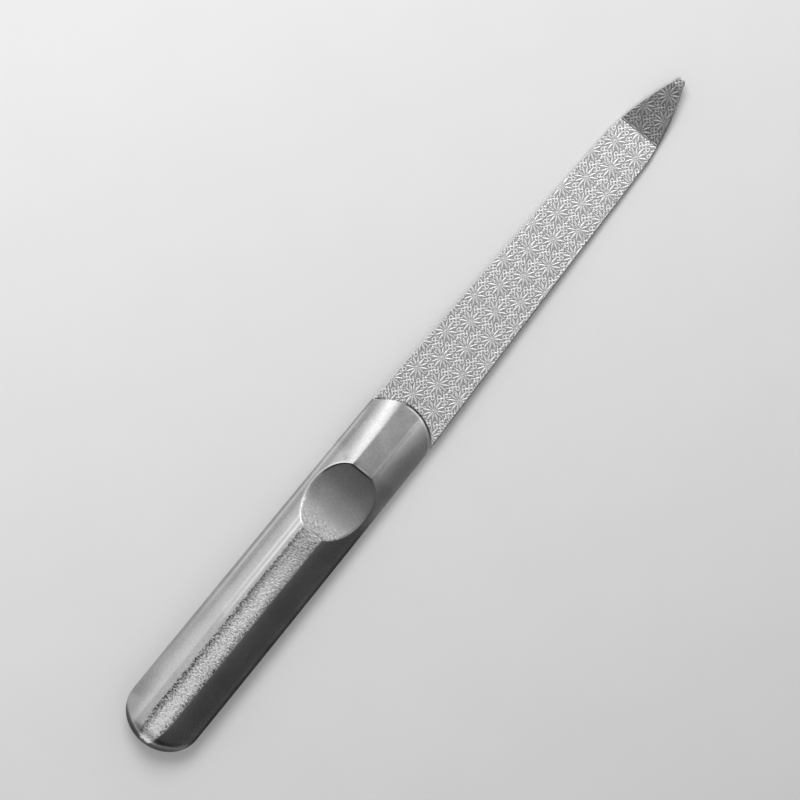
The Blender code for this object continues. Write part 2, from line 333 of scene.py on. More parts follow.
class NodeTree:
    """A thin wrapper that makes shader nodes short to write."""

    def __init__(self, tree: bpy.types.NodeTree) -> None:
        """Takes the node tree to work on."""
        self.tree = tree

    def add(self, kind: str, inputs: dict | None = None, **settings: object) -> bpy.types.Node:
        """Adds a node.

        Args:
            kind: The node's type without the ShaderNode prefix.
            inputs: Values or output sockets for its inputs, by name or index.
            settings: Its own properties.

        Returns:
            The new node.
        """
        node = self.tree.nodes.new("ShaderNode" + kind)
        for name, value in settings.items():
            setattr(node, name, value)
        for key, value in (inputs or {}).items():
            if isinstance(value, Socket):
                self.link(value, node.inputs[key])
            else:
                node.inputs[key].default_value = value
        return node

    def link(self, source: Socket, target: Socket) -> None:
        """Joins two sockets."""
        self.tree.links.new(source, target)

    def math(self, operation: str, *values: Number, clamp: bool = False) -> Socket:
        """A Math node's result, kept between 0 and 1 where clamp is set."""
        inputs = dict(enumerate(values))
        return self.add("Math", inputs, operation=operation, use_clamp=clamp).outputs[0]

    def times(self, *values: Number) -> Socket:
        """The product of the values."""
        return reduce(partial(self.math, "MULTIPLY"), values)

    def most(self, *values: Number) -> Socket:
        """The greatest of the values."""
        return reduce(partial(self.math, "MAXIMUM"), values)

    def plus(self, base: Number, value: Number, factor: Number = 1.0) -> Socket:
        """The base plus a value times a factor."""
        return self.math("MULTIPLY_ADD", value, factor, base)

    def minus(self, first: Number, second: Number) -> Socket:
        """The first value less the second."""
        return self.math("SUBTRACT", first, second)

    def size(self, value: Number) -> Socket:
        """A value without its sign."""
        return self.math("ABSOLUTE", value)

    def off(self, value: Number, middle: Number) -> Socket:
        """How far a value is from a middle one."""
        return self.size(self.minus(value, middle))

    def band(self, value: Number, span: Span) -> Socket:
        """A smooth step from 0 to 1 over a span."""
        inputs = {"Value": value, "From Min": span[0], "From Max": span[1]}
        return self.add("MapRange", inputs, interpolation_type="SMOOTHSTEP").outputs[0]

    def mask(self, *steps: tuple[Number, Span]) -> Socket:
        """The product of smooth steps, each of a value of its own."""
        return self.times(*(self.band(value, span) for value, span in steps))

    def scale(self, value: Number, span: Span) -> Socket:
        """Stretches a 0 to 1 value over a span."""
        inputs = {"Value": value, "To Min": span[0], "To Max": span[1]}
        return self.add("MapRange", inputs).outputs[0]

    def around(self, value: Number, middle: float, reach: float) -> Socket:
        """Stretches a 0 to 1 value from a reach under a middle one to a reach over it."""
        return self.scale(value, (middle - reach, middle + reach))

    def blend(self, mask: Socket, low: Number, high: Number) -> Socket:
        """Goes from one number to another as a mask goes from 0 to 1."""
        inputs = {"Factor": mask, 2: low, 3: high}
        return self.add("Mix", inputs, data_type="FLOAT").outputs[0]

    def grey(self, value: Socket) -> Socket:
        """A neutral colour from a number."""
        return self.add("CombineColor", {0: value, 1: value, 2: value}).outputs[0]

    def split(self, vector: Socket) -> list[Socket]:
        """A vector's X, Y and Z."""
        return list(self.add("SeparateXYZ", {0: vector}).outputs)

    def vector(self, operation: str, first: Socket, second: Socket | Direction) -> bpy.types.Node:
        """A Vector Math node."""
        return self.add("VectorMath", {0: first, 1: second}, operation=operation)

    def toward(self, vector: Socket, direction: Direction) -> Socket:
        """How far a vector goes in a direction."""
        return self.vector("DOT_PRODUCT", vector, direction).outputs["Value"]

    def noise(self, vector: Socket, scale: Number, detail: Number, **others: float) -> Socket:
        """Noise from 0 to 1, whose other inputs are given by their names."""
        inputs = {"Vector": vector, "Scale": scale, "Detail": detail, **others}
        return self.add("TexNoise", inputs).outputs["Fac"]

    def coordinates(self) -> Socket:
        """The object's own coordinates."""
        return self.add("TexCoord").outputs["Object"]


class EffectGroup(NodeTree):
    """A new shader node group whose sockets are plain numbers."""

    def __init__(self, name: str, inputs: dict[str, float], *outputs: str) -> None:
        """Makes the group with its sockets.

        Args:
            name: Its name.
            inputs: The inputs with their default values.
            outputs: The outputs' names.
        """
        super().__init__(bpy.data.node_groups.new(name, "ShaderNodeTree"))
        new_socket = partial(self.tree.interface.new_socket, socket_type="NodeSocketFloat")
        for label, value in inputs.items():
            new_socket(label, in_out="INPUT").default_value = value
        for label in outputs:
            new_socket(label, in_out="OUTPUT")
        self.given = self.tree.nodes.new("NodeGroupInput").outputs
        self.results = self.tree.nodes.new("NodeGroupOutput").inputs


@dataclass
class Effects:
    """The shader node groups that the metals share, each built once."""

    grid: RosetteGrid
    grain_depth: float = 1500.0
    speck: Span = (0.56, 0.70)
    scratch: Span = (0.60, 0.66)
    scratch_turn: float = 0.45
    scratch_stretch: Direction = (0.12, 1.0, 0.4)
    line_width: float = 0.00008
    line_edge: Span = (1.7, 0.7)
    petal_fullness: float = 0.75
    eye_radius: Span = (0.00025, 0.00075)
    eye_strength: Span = (0.35, 1.0)
    beads_along: int = 5
    beads_across: int = 6
    bead_edge: Span = (-0.10, 0.35)
    corner_off: Span = (0.00012, 0.00024)

    def __post_init__(self) -> None:
        """Builds every group."""
        self.grain = self._grain()
        self.handling = self._handling()
        self.strokes = self._strokes()

    def _grain(self) -> bpy.types.NodeTree:
        """Pebbled grain of pressed sheet: rounded specks drawn out in one direction.

        Returns:
            The group's tree.
        """
        made = EffectGroup(
            "sheet_grain", {"Along": 1500.0, "Across": 1500.0, "Detail": 3.0}, "Height", "Specks"
        )
        sizes = {"X": made.given["Along"], "Y": made.given["Across"], "Z": self.grain_depth}
        stretch = made.add("CombineXYZ", sizes).outputs[0]
        scaled = made.vector("MULTIPLY", made.coordinates(), stretch).outputs[0]
        height = made.noise(scaled, scale=1.0, detail=made.given["Detail"], Roughness=0.6)
        made.link(height, made.results["Height"])
        made.link(made.band(height, self.speck), made.results["Specks"])
        return made.tree

    def _handling(self) -> bpy.types.NodeTree:
        """Cloudy smudges and hair scratches that handling leaves on bare steel.

        Returns:
            The group's tree.
        """
        sizes = {"Cloud Scale": 120.0, "Scratch Scale": 260.0}
        made = EffectGroup("handling_marks", sizes, "Clouds", "Scratches")
        coordinates = made.coordinates()
        clouds = made.noise(
            coordinates, made.given["Cloud Scale"], detail=5.0, Roughness=0.55, Distortion=0.6
        )
        turn = {"Rotation": (0.0, 0.0, self.scratch_turn), "Scale": self.scratch_stretch}
        turned = made.add("Mapping", {"Vector": coordinates, **turn}).outputs[0]
        lines = made.noise(turned, made.given["Scratch Scale"], detail=8.0, Roughness=0.75)
        made.link(clouds, made.results["Clouds"])
        made.link(made.band(lines, self.scratch), made.results["Scratches"])
        return made.tree

    def _off_rosette(self, made: EffectGroup) -> tuple[Socket, Socket]:
        """Finds the rosette whose cell a point is in.

        Args:
            made: The group that it is for.

        Returns:
            How far the point is from the rosette's middle along and across the blade.
        """
        grid = self.grid
        x, y, _z = made.split(made.coordinates())
        beyond = made.most(made.minus(x, grid.bend_x), 0.0)
        flat_x = made.plus(x, beyond, 1 / math.cos(grid.tip_angle) - 1)
        column_at = made.math("DIVIDE", made.minus(flat_x, grid.first_x), grid.column_spacing)
        column = made.math("ROUND", column_at)
        step = grid.column_spacing * math.tan(grid.turn)
        drift = made.plus(grid.drift(grid.first_x), column, step)
        shift = made.plus(drift, made.math("FLOORED_MODULO", column, 2.0), grid.rosette_spacing / 2)
        row_at = made.math("DIVIDE", made.minus(y, shift), grid.rosette_spacing)
        row_off = made.minus(row_at, made.math("ROUND", row_at))
        off_x = made.times(made.minus(column_at, column), grid.column_spacing)
        return off_x, made.times(row_off, grid.rosette_spacing)

    def _off_petal(self, made: EffectGroup, petal: Petal, x: Socket, y: Socket) -> Socket:
        """How far a point lies outside a petal's outline, negative inside it.

        Args:
            made: The group that it is for.
            petal: The kind of petal.
            x: How far the point is from the rosette's middle along the blade, unsigned.
            y: The same across the blade.

        Returns:
            The distance in metres.
        """
        angle, width = petal.value
        cosine, sine = math.cos(math.radians(angle)), math.sin(math.radians(angle))
        half_length = self.grid.petal_length / 2
        along = made.plus(made.times(y, sine), x, cosine)
        aside = made.minus(made.times(y, cosine), made.times(x, sine))
        share = made.math("DIVIDE", made.minus(along, self.grid.petal_middle), half_length)
        swell = made.most(made.minus(1.0, made.times(share, share)), 0.0)
        swell = made.math("POWER", swell, self.petal_fullness)
        beside = made.plus(made.size(aside), swell, -width / 2)
        past = made.minus(made.size(share), 1.0)
        return made.most(beside, made.times(past, half_length))

    def _strokes(self) -> bpy.types.NodeTree:
        """Dark strokes that the etch leaves round the petals and between the rosettes.

        Returns:
            The group's tree.
        """
        made = EffectGroup("rosette_strokes", {"Line": self.line_width}, "Strokes")
        off_x, off_y = self._off_rosette(made)
        side_x, side_y = made.size(off_x), made.size(off_y)
        nearest: Number = 1.0
        for petal in Petal:
            gap = self._off_petal(made, petal, side_x, side_y)
            nearest = made.math("MINIMUM", nearest, gap)
        line = made.given["Line"]
        outline = made.band(made.math("DIVIDE", made.off(nearest, line), line), self.line_edge)
        reach = made.plus(made.times(side_y, side_y), side_x, side_x)
        eye = made.band(made.math("SQRT", reach), self.eye_radius)
        outline = made.times(outline, made.scale(eye, self.eye_strength))

        # The corners between rosettes are filled with a lace of short strokes.
        bead_x = self.grid.column_spacing / self.beads_along
        bead_y = self.grid.rosette_spacing / self.beads_across
        wave_x = made.math("COSINE", made.times(off_x, 2 * math.pi / bead_x))
        wave_y = made.math("COSINE", made.times(off_y, 2 * math.pi / bead_y))
        beads = made.times(wave_x, wave_y)
        lace = made.mask((beads, self.bead_edge), (nearest, self.corner_off))
        made.link(made.most(outline, lace), made.results["Strokes"])
        return made.tree


class Skin(NodeTree):
    """A new material with one Principled shader, and the values that its masks start from."""

    def __init__(self, name: str) -> None:
        """Makes the material.

        Args:
            name: The material's name.
        """
        self.material = bpy.data.materials.new(name)
        self.material.use_nodes = True
        super().__init__(self.material.node_tree)
        self.shader = self.tree.nodes["Principled BSDF"].inputs
        self.place = self.coordinates()
        self.x, self.y, self.z = self.split(self.place)

    @cached_property
    def normal(self) -> list[Socket]:
        """Where a point faces, as X, Y and Z."""
        return self.split(self.add("NewGeometry").outputs["Normal"])

    @cached_property
    def rim(self) -> Socket:
        """How far a point lies inside the scoop's rim, negative outside it."""
        return self.add("Attribute", attribute_name="rim").outputs["Fac"]

    def effect(self, tree: bpy.types.NodeTree, **inputs: float) -> bpy.types.bpy_prop_collection:
        """A shared group's outputs. Its inputs are named with _ for each space."""
        values = {label.replace("_", " "): value for label, value in inputs.items()}
        return self.add("Group", values, node_tree=tree).outputs

    def metal(
        self, tone: Socket, rough: Socket, relief: Socket, strength: float, depth: float
    ) -> Material:
        """Joins up the shader of a bare metal.

        Args:
            tone: Its brightness.
            rough: Its roughness.
            relief: The height of its grain, from 0 to 1.
            strength: The bump's strength.
            depth: The bump's depth in metres.

        Returns:
            The finished material.
        """
        self.link(self.grey(tone), self.shader["Base Color"])
        self.link(rough, self.shader["Roughness"])
        bump = self.add("Bump", {"Strength": strength, "Distance": depth, "Height": relief})
        self.link(bump.outputs[0], self.shader["Normal"])
        self.shader["Metallic"].default_value = 1.0
        return self.material


# Finishes


@dataclass(frozen=True)
class MouthArc:
    """The arc of the handle's mouth seen from above, for the masks that follow it."""

    centre_x: float = -0.0084193
    radius: float = 0.0087193

    def ahead(self, skin: Skin) -> Socket:
        """How far a point lies ahead of the arc's centre."""
        return skin.minus(skin.x, self.centre_x)

    def off(self, skin: Skin) -> Socket:
        """How far a point lies outside the arc, negative inside it.

        Args:
            skin: The material that it is for.

        Returns:
            The distance in metres.
        """
        ahead = self.ahead(skin)
        square = skin.plus(skin.times(skin.y, skin.y), ahead, ahead)
        return skin.minus(skin.math("SQRT", square), self.radius)


class PaintedReflectionLine(NamedTuple):
    """One painted reflection line along the +Y flank, light or dark: its tone is added to the
    steel's.
    """

    y: float
    tone: float
    start_x: float
    end_x: float


class HandleZones(NamedTuple):
    """Masks of the handle's stretches, with the grain and marks that lie over them."""

    behind: Socket
    ahead: Socket
    grained: Socket
    scooped: Socket
    height: Socket
    clouds: Socket
    scratches: Socket


@dataclass(frozen=True)
class PressedSteel:
    """Bright sheet steel of the handle: pebbled along the facet, satin by the mouth."""

    flank_tone: float = 0.62
    facet_tone: float = 0.42
    scoop_tone: float = 0.52
    mouth_tone: float = 0.42
    cloud_tone: float = 0.10
    scratch_tone: float = -0.05
    specular_tint: float = 0.45
    mouth: MouthArc = MouthArc()

    flank_roughness: float = 0.22
    facet_roughness: float = 0.44
    scoop_roughness: float = 0.17
    mouth_roughness: float = 0.32
    satin_roughness: float = 0.16
    mark_roughness: float = 0.06

    grain_along: float = 3600.0
    grain_across: float = 2100.0
    grain_detail: float = 2.0
    grain_share: Span = (0.06, 1.0)
    scratch_relief: float = -0.06
    bump_strength: float = 0.8
    bump_depth: float = 0.00008

    level_lean: Span = (0.24, 0.08)
    behind_x: Span = (-0.0301, -0.0305)
    ahead_x: Span = (-0.0153, -0.0131)
    nose_x: Span = (-0.0166, -0.0148)
    nose_inner_y: Span = (0.0008, 0.0016)
    nose_outer_y: Span = (0.0056, 0.0040)
    outside_rim: Span = (0.0, -0.0001)

    # Painted reflection: the facet's middle is bright, most at the rear; dark bands by its +Y edge.
    middle_y: float = -0.00025
    middle_off: Span = (0.0019, 0.0005)
    rise_x: Span = (-0.0325, -0.0470)
    middle_highlight_tone: Span = (0.04, 0.38)
    rear_rise_x: Span = (-0.0600, -0.0770)
    rear_highlight_tone: float = 0.16
    dark_reflection_y: float = 0.0023
    beside_y: float = 0.0031
    dark_reflection_off: Span = (0.0009, 0.0003)
    beside_x: Span = (-0.0480, -0.0600)
    dark_reflection_tone: float = -0.14
    flank_sparkle: float = 0.24
    facet_sparkle_x: Span = (-0.0420, -0.0600)
    facet_sparkle: Span = (1.1, 2.4)
    scoop_sparkle_x: Span = (-0.0262, -0.0290)
    scoop_sparkle: float = 0.9

    # Painted light on the shaded -Y flank between the scoop and the mouth.
    satin_and_painted_light_x: Span = (-0.0285, -0.0150)
    satin_and_painted_light_y: Span = (-0.0017, -0.0030)
    painted_light_tone: Span = (0.10, 0.25)
    wave_scale: float = 260.0
    wave_reach: float = 0.0010
    fan_x: float = -0.0151
    fan_start: float = 0.0019
    fan_slope: float = 0.24
    fan_edge: Span = (0.0007, -0.0005)
    painted_fan_light: float = 0.08
    line_off: Span = (0.00036, 0.00012)
    line_rise: float = 0.0260
    line_fall: float = 0.0060
    # Painted reflection lines, light and dark, along the +Y flank.
    painted_reflection_lines: tuple[PaintedReflectionLine, ...] = (
        PaintedReflectionLine(0.00405, 0.16, -0.0620, -0.0200),
        PaintedReflectionLine(0.00318, 0.20, -0.0620, -0.0200),
        PaintedReflectionLine(0.00700, 0.26, -0.0660, -0.0020),
        PaintedReflectionLine(0.00610, -0.07, -0.0660, -0.0020),
    )

    # Painted highlight along the mouth's edge.
    lip_rear: Span = (-0.00045, -0.00028)
    lip_front: Span = (-0.00002, -0.00012)
    lip_y: Span = (0.0016, 0.0004)
    lip_ahead: Span = (0.0, 0.0020)
    mouth_highlight_tone: float = 0.40

    # Painted shade inside the scoop's front edge, and a painted highlight round its rim.
    scoop_middle_x: float = -0.0227
    painted_shade_slant: float = 0.6
    painted_shade_front: Span = (0.0052, 0.0072)
    painted_shade_rear: Span = (-0.0062, -0.0074)
    painted_shade_rear_share: float = 0.5
    painted_shade_outer: Span = (0.00002, 0.00008)
    painted_shade_inner: Span = (0.00048, 0.00030)
    painted_shade_depth: float = 0.72
    rim_inner: Span = (0.0, -0.00006)
    rim_outer: Span = (-0.00050, -0.00030)
    rim_y: Span = (-0.0030, 0.0)
    rim_rear_x: Span = (-0.0303, -0.0299)
    rim_front_x: Span = (-0.0151, -0.0155)
    rim_nose_x: Span = (-0.0151, -0.0150)
    rim_nose_y: Span = (0.0021, 0.0012)
    rim_highlight_tone: float = 0.26

    # A dark joint along the seam; the rest of this darkening is painted shade.
    joint_z: Span = (0.00085, 0.00030)
    joint_y: Span = (0.0, -0.0040)
    joint_rear_x: Span = (-0.0795, -0.0813)
    joint_fade_x: Span = (-0.0180, -0.0300)
    joint_least: float = 0.17
    joint_painted_shade: float = 0.55
    steep_rise: Span = (0.74, 0.60)
    steep_x: Span = (-0.0740, -0.0765)
    steep_depth: float = 0.78
    shoulder_y: Span = (0.0038, 0.0058)
    shoulder_x: Span = (-0.0655, -0.0770)
    shoulder_depth: float = 0.34
    turned_lean: Span = (-0.15, -0.36)
    turned_y: Span = (-0.0012, -0.0028)
    turned_x: Span = (-0.0715, -0.0740)
    turned_depth: float = 0.62

    def zones(self, skin: Skin, effects: Effects) -> HandleZones:
        """Divides the handle into its stretches.

        Args:
            skin: The material.
            effects: The shared node groups.

        Returns:
            The masks, the grain and the marks.
        """
        level = skin.band(skin.size(skin.normal[1]), self.level_lean)
        behind = skin.band(skin.x, self.behind_x)
        ahead = skin.band(skin.x, self.ahead_x)
        between = skin.minus(skin.minus(1.0, behind), ahead)
        grain = skin.effect(
            effects.grain,
            Along=self.grain_along,
            Across=self.grain_across,
            Detail=self.grain_detail,
        )
        marks = skin.effect(effects.handling)
        return HandleZones(
            behind,
            ahead,
            skin.times(level, behind),
            skin.times(level, between),
            grain["Height"],
            marks["Clouds"],
            marks["Scratches"],
        )

    def satin(self, skin: Skin) -> Socket:
        """Where the -Y flank turns from bright to satin and takes painted light, scoop to mouth."""
        outside = (skin.rim, self.outside_rim)
        return skin.mask((skin.x, self.satin_and_painted_light_x), outside, (skin.y, self.satin_and_painted_light_y))

    def pebbled(self, skin: Skin, zones: HandleZones, tone: Socket) -> Socket:
        """Paints a bright reflection band mid-facet and dark ones by its +Y edge; lays the grain
        over all.

        Args:
            skin: The material.
            zones: The handle's stretches.
            tone: The tone so far.

        Returns:
            The new tone.
        """
        middle = skin.band(skin.off(skin.y, self.middle_y), self.middle_off)
        rise = skin.scale(skin.band(skin.x, self.rise_x), self.middle_highlight_tone)
        rise = skin.plus(rise, skin.band(skin.x, self.rear_rise_x), self.rear_highlight_tone)
        dark_reflection = skin.times(skin.band(skin.off(skin.y, self.dark_reflection_y), self.dark_reflection_off), zones.behind)
        beside = (skin.off(skin.y, self.beside_y), self.dark_reflection_off)
        beside = skin.mask(beside, (skin.x, self.beside_x))
        # Painted reflection: a bright band along the facet's middle, dark bands by its +Y edge.
        tone = skin.plus(tone, skin.times(middle, zones.grained), rise)
        tone = skin.plus(tone, skin.most(dark_reflection, beside), self.dark_reflection_tone)
        tone = skin.plus(tone, skin.around(zones.clouds, 0.0, self.cloud_tone))
        fading = skin.scale(skin.band(skin.x, self.facet_sparkle_x), self.facet_sparkle)
        strength = skin.blend(zones.grained, self.flank_sparkle, fading)
        scooped = skin.times(zones.scooped, skin.band(skin.x, self.scoop_sparkle_x))
        strength = skin.plus(strength, scooped, self.scoop_sparkle)
        tone = skin.plus(tone, skin.minus(zones.height, 0.5), strength)
        return skin.plus(tone, zones.scratches, self.scratch_tone)

    def painted_flank_light(self, skin: Skin, ahead: Socket, tone: Socket) -> Socket:
        """Paints light onto the shaded -Y flank and reflection lines along the +Y flank.

        Args:
            skin: The material.
            ahead: The mask of what lies ahead of the scoop.
            tone: The tone so far.

        Returns:
            The new tone.
        """
        wave = skin.noise(skin.place, self.wave_scale, detail=1.0)
        spread = skin.plus(self.fan_start, skin.minus(skin.x, self.fan_x), self.fan_slope)
        spread = skin.plus(spread, wave, self.wave_reach)
        outside = skin.minus(skin.times(skin.y, -1.0), spread)
        near = skin.band(outside, self.fan_edge)
        # Painted light on the shaded -Y flank, spreading in a fan towards the mouth.
        light = skin.plus(skin.scale(ahead, self.painted_light_tone), near, self.painted_fan_light)
        tone = skin.plus(tone, light, self.satin(skin))
        # Painted reflection lines along the +Y flank, light and dark.
        for line in self.painted_reflection_lines:
            mark = skin.mask(
                (skin.off(skin.y, line.y), self.line_off),
                (skin.rim, self.outside_rim),
                (skin.x, (line.start_x, line.start_x + self.line_rise)),
                (skin.x, (line.end_x, line.end_x - self.line_fall)),
            )
            tone = skin.plus(tone, mark, line.tone)
        return tone

    def painted_mouth_highlight(self, skin: Skin, tone: Socket) -> Socket:
        """Paints a highlight on the mouth's rounded edge, most of all on the -Y side.

        Args:
            skin: The material.
            tone: The tone so far.

        Returns:
            The new tone.
        """
        off = self.mouth.off(skin)
        ends = (skin.y, self.lip_y), (self.mouth.ahead(skin), self.lip_ahead)
        edge = skin.mask((off, self.lip_rear), (off, self.lip_front), *ends)
        return skin.plus(tone, edge, self.mouth_highlight_tone)

    def painted_rim_shade_and_highlight(self, skin: Skin, tone: Socket) -> Socket:
        """Paints shade inside the scoop's front edge and a highlight line round its rim.

        Args:
            skin: The material.
            tone: The tone so far.

        Returns:
            The new tone.
        """
        x, y, rim = skin.x, skin.y, skin.rim
        # Painted shade inside the scoop's front edge, less at its rear.
        forward = skin.plus(skin.minus(x, self.scoop_middle_x), y, self.painted_shade_slant)
        rear = skin.times(skin.band(forward, self.painted_shade_rear), self.painted_shade_rear_share)
        inner = skin.mask((rim, self.painted_shade_outer), (rim, self.painted_shade_inner))
        painted_shade = skin.times(inner, skin.most(skin.band(forward, self.painted_shade_front), rear))
        # Painted highlight line round the rim.
        outer = skin.mask((rim, self.rim_inner), (rim, self.rim_outer), (y, self.rim_y))
        beside = skin.mask((x, self.rim_rear_x), (x, self.rim_front_x))
        nose = skin.mask((x, self.rim_nose_x), (skin.size(y), self.rim_nose_y))
        tone = skin.plus(tone, skin.times(outer, skin.most(beside, nose)), self.rim_highlight_tone)
        return skin.times(tone, skin.plus(1.0, painted_shade, -self.painted_shade_depth))

    def seam_and_painted_shade(self, skin: Skin, tone: Socket) -> Socket:
        """Darkens the shells' joint and paints shade on the -Y side and round the rear end.

        Args:
            skin: The material.
            tone: The tone so far.

        Returns:
            The new tone.
        """
        x, y = skin.x, skin.y
        where = skin.most(skin.band(y, self.joint_y), skin.band(x, self.joint_rear_x))
        where = skin.plus(self.joint_least, where, self.joint_painted_shade)
        joint = skin.mask((skin.size(skin.z), self.joint_z), (x, self.joint_fade_x))
        steep = skin.mask((skin.size(skin.normal[2]), self.steep_rise), (x, self.steep_x))
        shoulder = skin.mask((y, self.shoulder_y), (x, self.shoulder_x))
        lean = (skin.normal[0], self.turned_lean)
        turned = skin.mask(lean, (y, self.turned_y), (x, self.turned_x))
        # Dark joint, with painted shade on -Y and at the rear, on the steep rear end, its shoulder
        # and -Y side.
        dark = skin.most(
            skin.times(joint, where),
            skin.times(steep, self.steep_depth),
            skin.times(shoulder, self.shoulder_depth),
            skin.times(turned, self.turned_depth),
        )
        return skin.math("MULTIPLY", tone, skin.minus(1.0, dark), clamp=True)

    def make(self, effects: Effects) -> Material:
        """Builds the material.

        Args:
            effects: The shared node groups.

        Returns:
            The finished material.
        """
        skin = Skin("pressed_steel_satin")
        zones = self.zones(skin, effects)
        nose = skin.mask(
            (skin.x, self.nose_x),
            (skin.rim, self.outside_rim),
            (skin.y, self.nose_inner_y),
            (skin.y, self.nose_outer_y),
        )
        tone = skin.blend(zones.grained, self.flank_tone, self.facet_tone)
        tone = skin.blend(zones.scooped, tone, self.scoop_tone)
        tone = skin.blend(skin.most(zones.ahead, nose), tone, self.mouth_tone)
        tone = self.pebbled(skin, zones, tone)
        tone = self.painted_flank_light(skin, zones.ahead, tone)
        tone = self.painted_mouth_highlight(skin, tone)
        tone = self.painted_rim_shade_and_highlight(skin, tone)
        tone = self.seam_and_painted_shade(skin, tone)

        rough = skin.blend(zones.grained, self.flank_roughness, self.facet_roughness)
        rough = skin.blend(zones.scooped, rough, self.scoop_roughness)
        rough = skin.blend(zones.ahead, rough, self.mouth_roughness)
        rough = skin.plus(rough, self.satin(skin), self.satin_roughness)
        rough = skin.plus(rough, skin.around(zones.clouds, 0.0, self.mark_roughness))
        rough = skin.plus(rough, zones.scratches, self.mark_roughness)

        relief = skin.times(zones.height, skin.scale(zones.grained, self.grain_share))
        relief = skin.plus(relief, zones.scratches, self.scratch_relief)
        skin.shader["Specular Tint"].default_value = (*(self.specular_tint,) * 3, 1.0)
        return skin.metal(tone, rough, relief, self.bump_strength, self.bump_depth)


@dataclass(frozen=True)
class EtchedSteel:
    """One of the tones of the blade: ground, lands, their sides or the bevelled edges."""

    name: str
    brightness: float
    roughness: float
    speck_tone: float
    stroke_depth: float = 0.0
    shaded_tip: bool = True
    # Painted shade on the -Y side of the edges.
    painted_edge_shade: float = 0.0
    grain_scale: float = 4200.0
    cloud_scale: float = 300.0
    cloud_tone: float = 0.06
    scratch_tone: float = -0.04
    stroke_share: Span = (0.35, 1.45)
    painted_edge_shade_y: Span = (-0.0020, -0.0035)
    grain_roughness: float = 0.08
    mouth: MouthArc = MouthArc()
    # Painted shadow on the blade along the handle's mouth.
    painted_shade_rear: Span = (-0.0010, -0.0008)
    painted_shade_front: Span = (0.00052, 0.00030)
    painted_shade_y: Span = (0.0030, 0.0008)
    painted_shade_share: Span = (0.25, 1.0)
    painted_shade_corner_y: Span = (0.0057, 0.0063)
    painted_shade_depth: float = 0.85
    # Painted shade on the bent tip, up to its bright end.
    tip_x: Span = (0.06915, 0.06935)
    tip_end_x: Span = (0.0803, 0.0813)
    tip_depth: float = 0.34

    def mouth_painted_shadow(self, skin: Skin) -> Socket:
        """Finds what the painted shadow along the handle's mouth leaves of the tone.

        Args:
            skin: The material.

        Returns:
            The share that is left.
        """
        off = self.mouth.off(skin)
        near = skin.mask((off, self.painted_shade_rear), (off, self.painted_shade_front))
        side = skin.scale(skin.band(skin.y, self.painted_shade_y), self.painted_shade_share)
        side = skin.most(side, skin.band(skin.size(skin.y), self.painted_shade_corner_y))
        return skin.plus(1.0, skin.times(near, side), -self.painted_shade_depth)

    def tip_painted_shade(self, skin: Skin) -> Socket:
        """What is left of the tone on the bent tip under painted shade, which stops short of its
        bright end.
        """
        before_end = skin.minus(1.0, skin.band(skin.x, self.tip_end_x))
        return skin.plus(1.0, skin.times(skin.band(skin.x, self.tip_x), before_end), -self.tip_depth)

    def make(self, effects: Effects) -> Material:
        """Builds the material.

        Args:
            effects: The shared node groups.

        Returns:
            The finished material.
        """
        skin = Skin(self.name)
        scale = self.grain_scale
        grain = skin.effect(effects.grain, Along=scale, Across=scale, Detail=4.0)
        marks = skin.effect(effects.handling, Cloud_Scale=self.cloud_scale)
        height = grain["Height"]
        tone = skin.around(marks["Clouds"], self.brightness, self.cloud_tone)
        tone = skin.plus(tone, grain["Specks"], self.speck_tone)
        scratches = marks["Scratches"]
        tone = skin.math("MULTIPLY_ADD", scratches, self.scratch_tone, tone, clamp=True)
        if self.stroke_depth > 0.0:
            strokes = skin.effect(effects.strokes)["Strokes"]
            uneven = skin.times(strokes, skin.scale(height, self.stroke_share))
            kept = skin.math("MULTIPLY_ADD", uneven, -self.stroke_depth, 1.0, clamp=True)
            tone = skin.times(tone, kept)
        tone = skin.times(tone, self.mouth_painted_shadow(skin))
        if self.shaded_tip:
            tone = skin.times(tone, self.tip_painted_shade(skin))
        # Painted shade on the -Y edges, mottled by the grain.
        if self.painted_edge_shade > 0.0:
            side = skin.times(skin.band(skin.y, self.painted_edge_shade_y), height)
            kept = skin.math("MULTIPLY_ADD", side, -2.0 * self.painted_edge_shade, 1.0, clamp=True)
            tone = skin.times(tone, kept)
        rough = skin.around(height, self.roughness, self.grain_roughness)
        return skin.metal(tone, rough, height, strength=0.5, depth=0.00003)


@dataclass(frozen=True)
class TableTop:
    """The pale matt table under the file, with painted light: paler towards the window."""

    brightness: float = 0.80
    brightness_range: Span = (0.62, 0.92)
    window_side: Direction = (0.34, 1.0, 0.0)
    fall: float = 1.15
    mottle: float = 0.02
    roughness: float = 0.75
    reflection: float = 0.2

    def make(self) -> Material:
        """Builds the material.

        Returns:
            The finished material.
        """
        skin = Skin("pale_table")
        mottle = skin.noise(skin.place, scale=60.0, detail=6.0, Roughness=0.7)
        # Painted light: the table gets paler towards the window.
        slope = skin.plus(self.brightness, skin.toward(skin.place, self.window_side), self.fall)
        least, most = self.brightness_range
        slope = skin.math("MINIMUM", skin.most(slope, least), most)
        tone = skin.plus(skin.around(mottle, 0.0, self.mottle), slope)
        skin.link(skin.grey(tone), skin.shader["Base Color"])
        skin.shader["Roughness"].default_value = self.roughness
        skin.shader["Specular IOR Level"].default_value = self.reflection
        return skin.material


# Handle


class Ring(NamedTuple):
    """One ring of the handle's sheet, from the +Y base over the top to the -Y base.

    The shares are those of the full width and height, and turned is how far the ring
    has gone from straight across to the mouth's arc.
    """

    x: float
    width_share: float = 1.0
    height_share: float = 1.0
    turned: float = 0.0


class FlankArc(NamedTuple):
    """The arc of one flank's section, with its slopes at the facet and at the seam."""

    centre: Vector
    radius: float
    flat: float
    steep: float

    def at(self, turn: float) -> Vector:
        """The point across and up where the arc has a slope."""
        return self.centre + self.radius * Vector((math.sin(turn), math.cos(turn)))


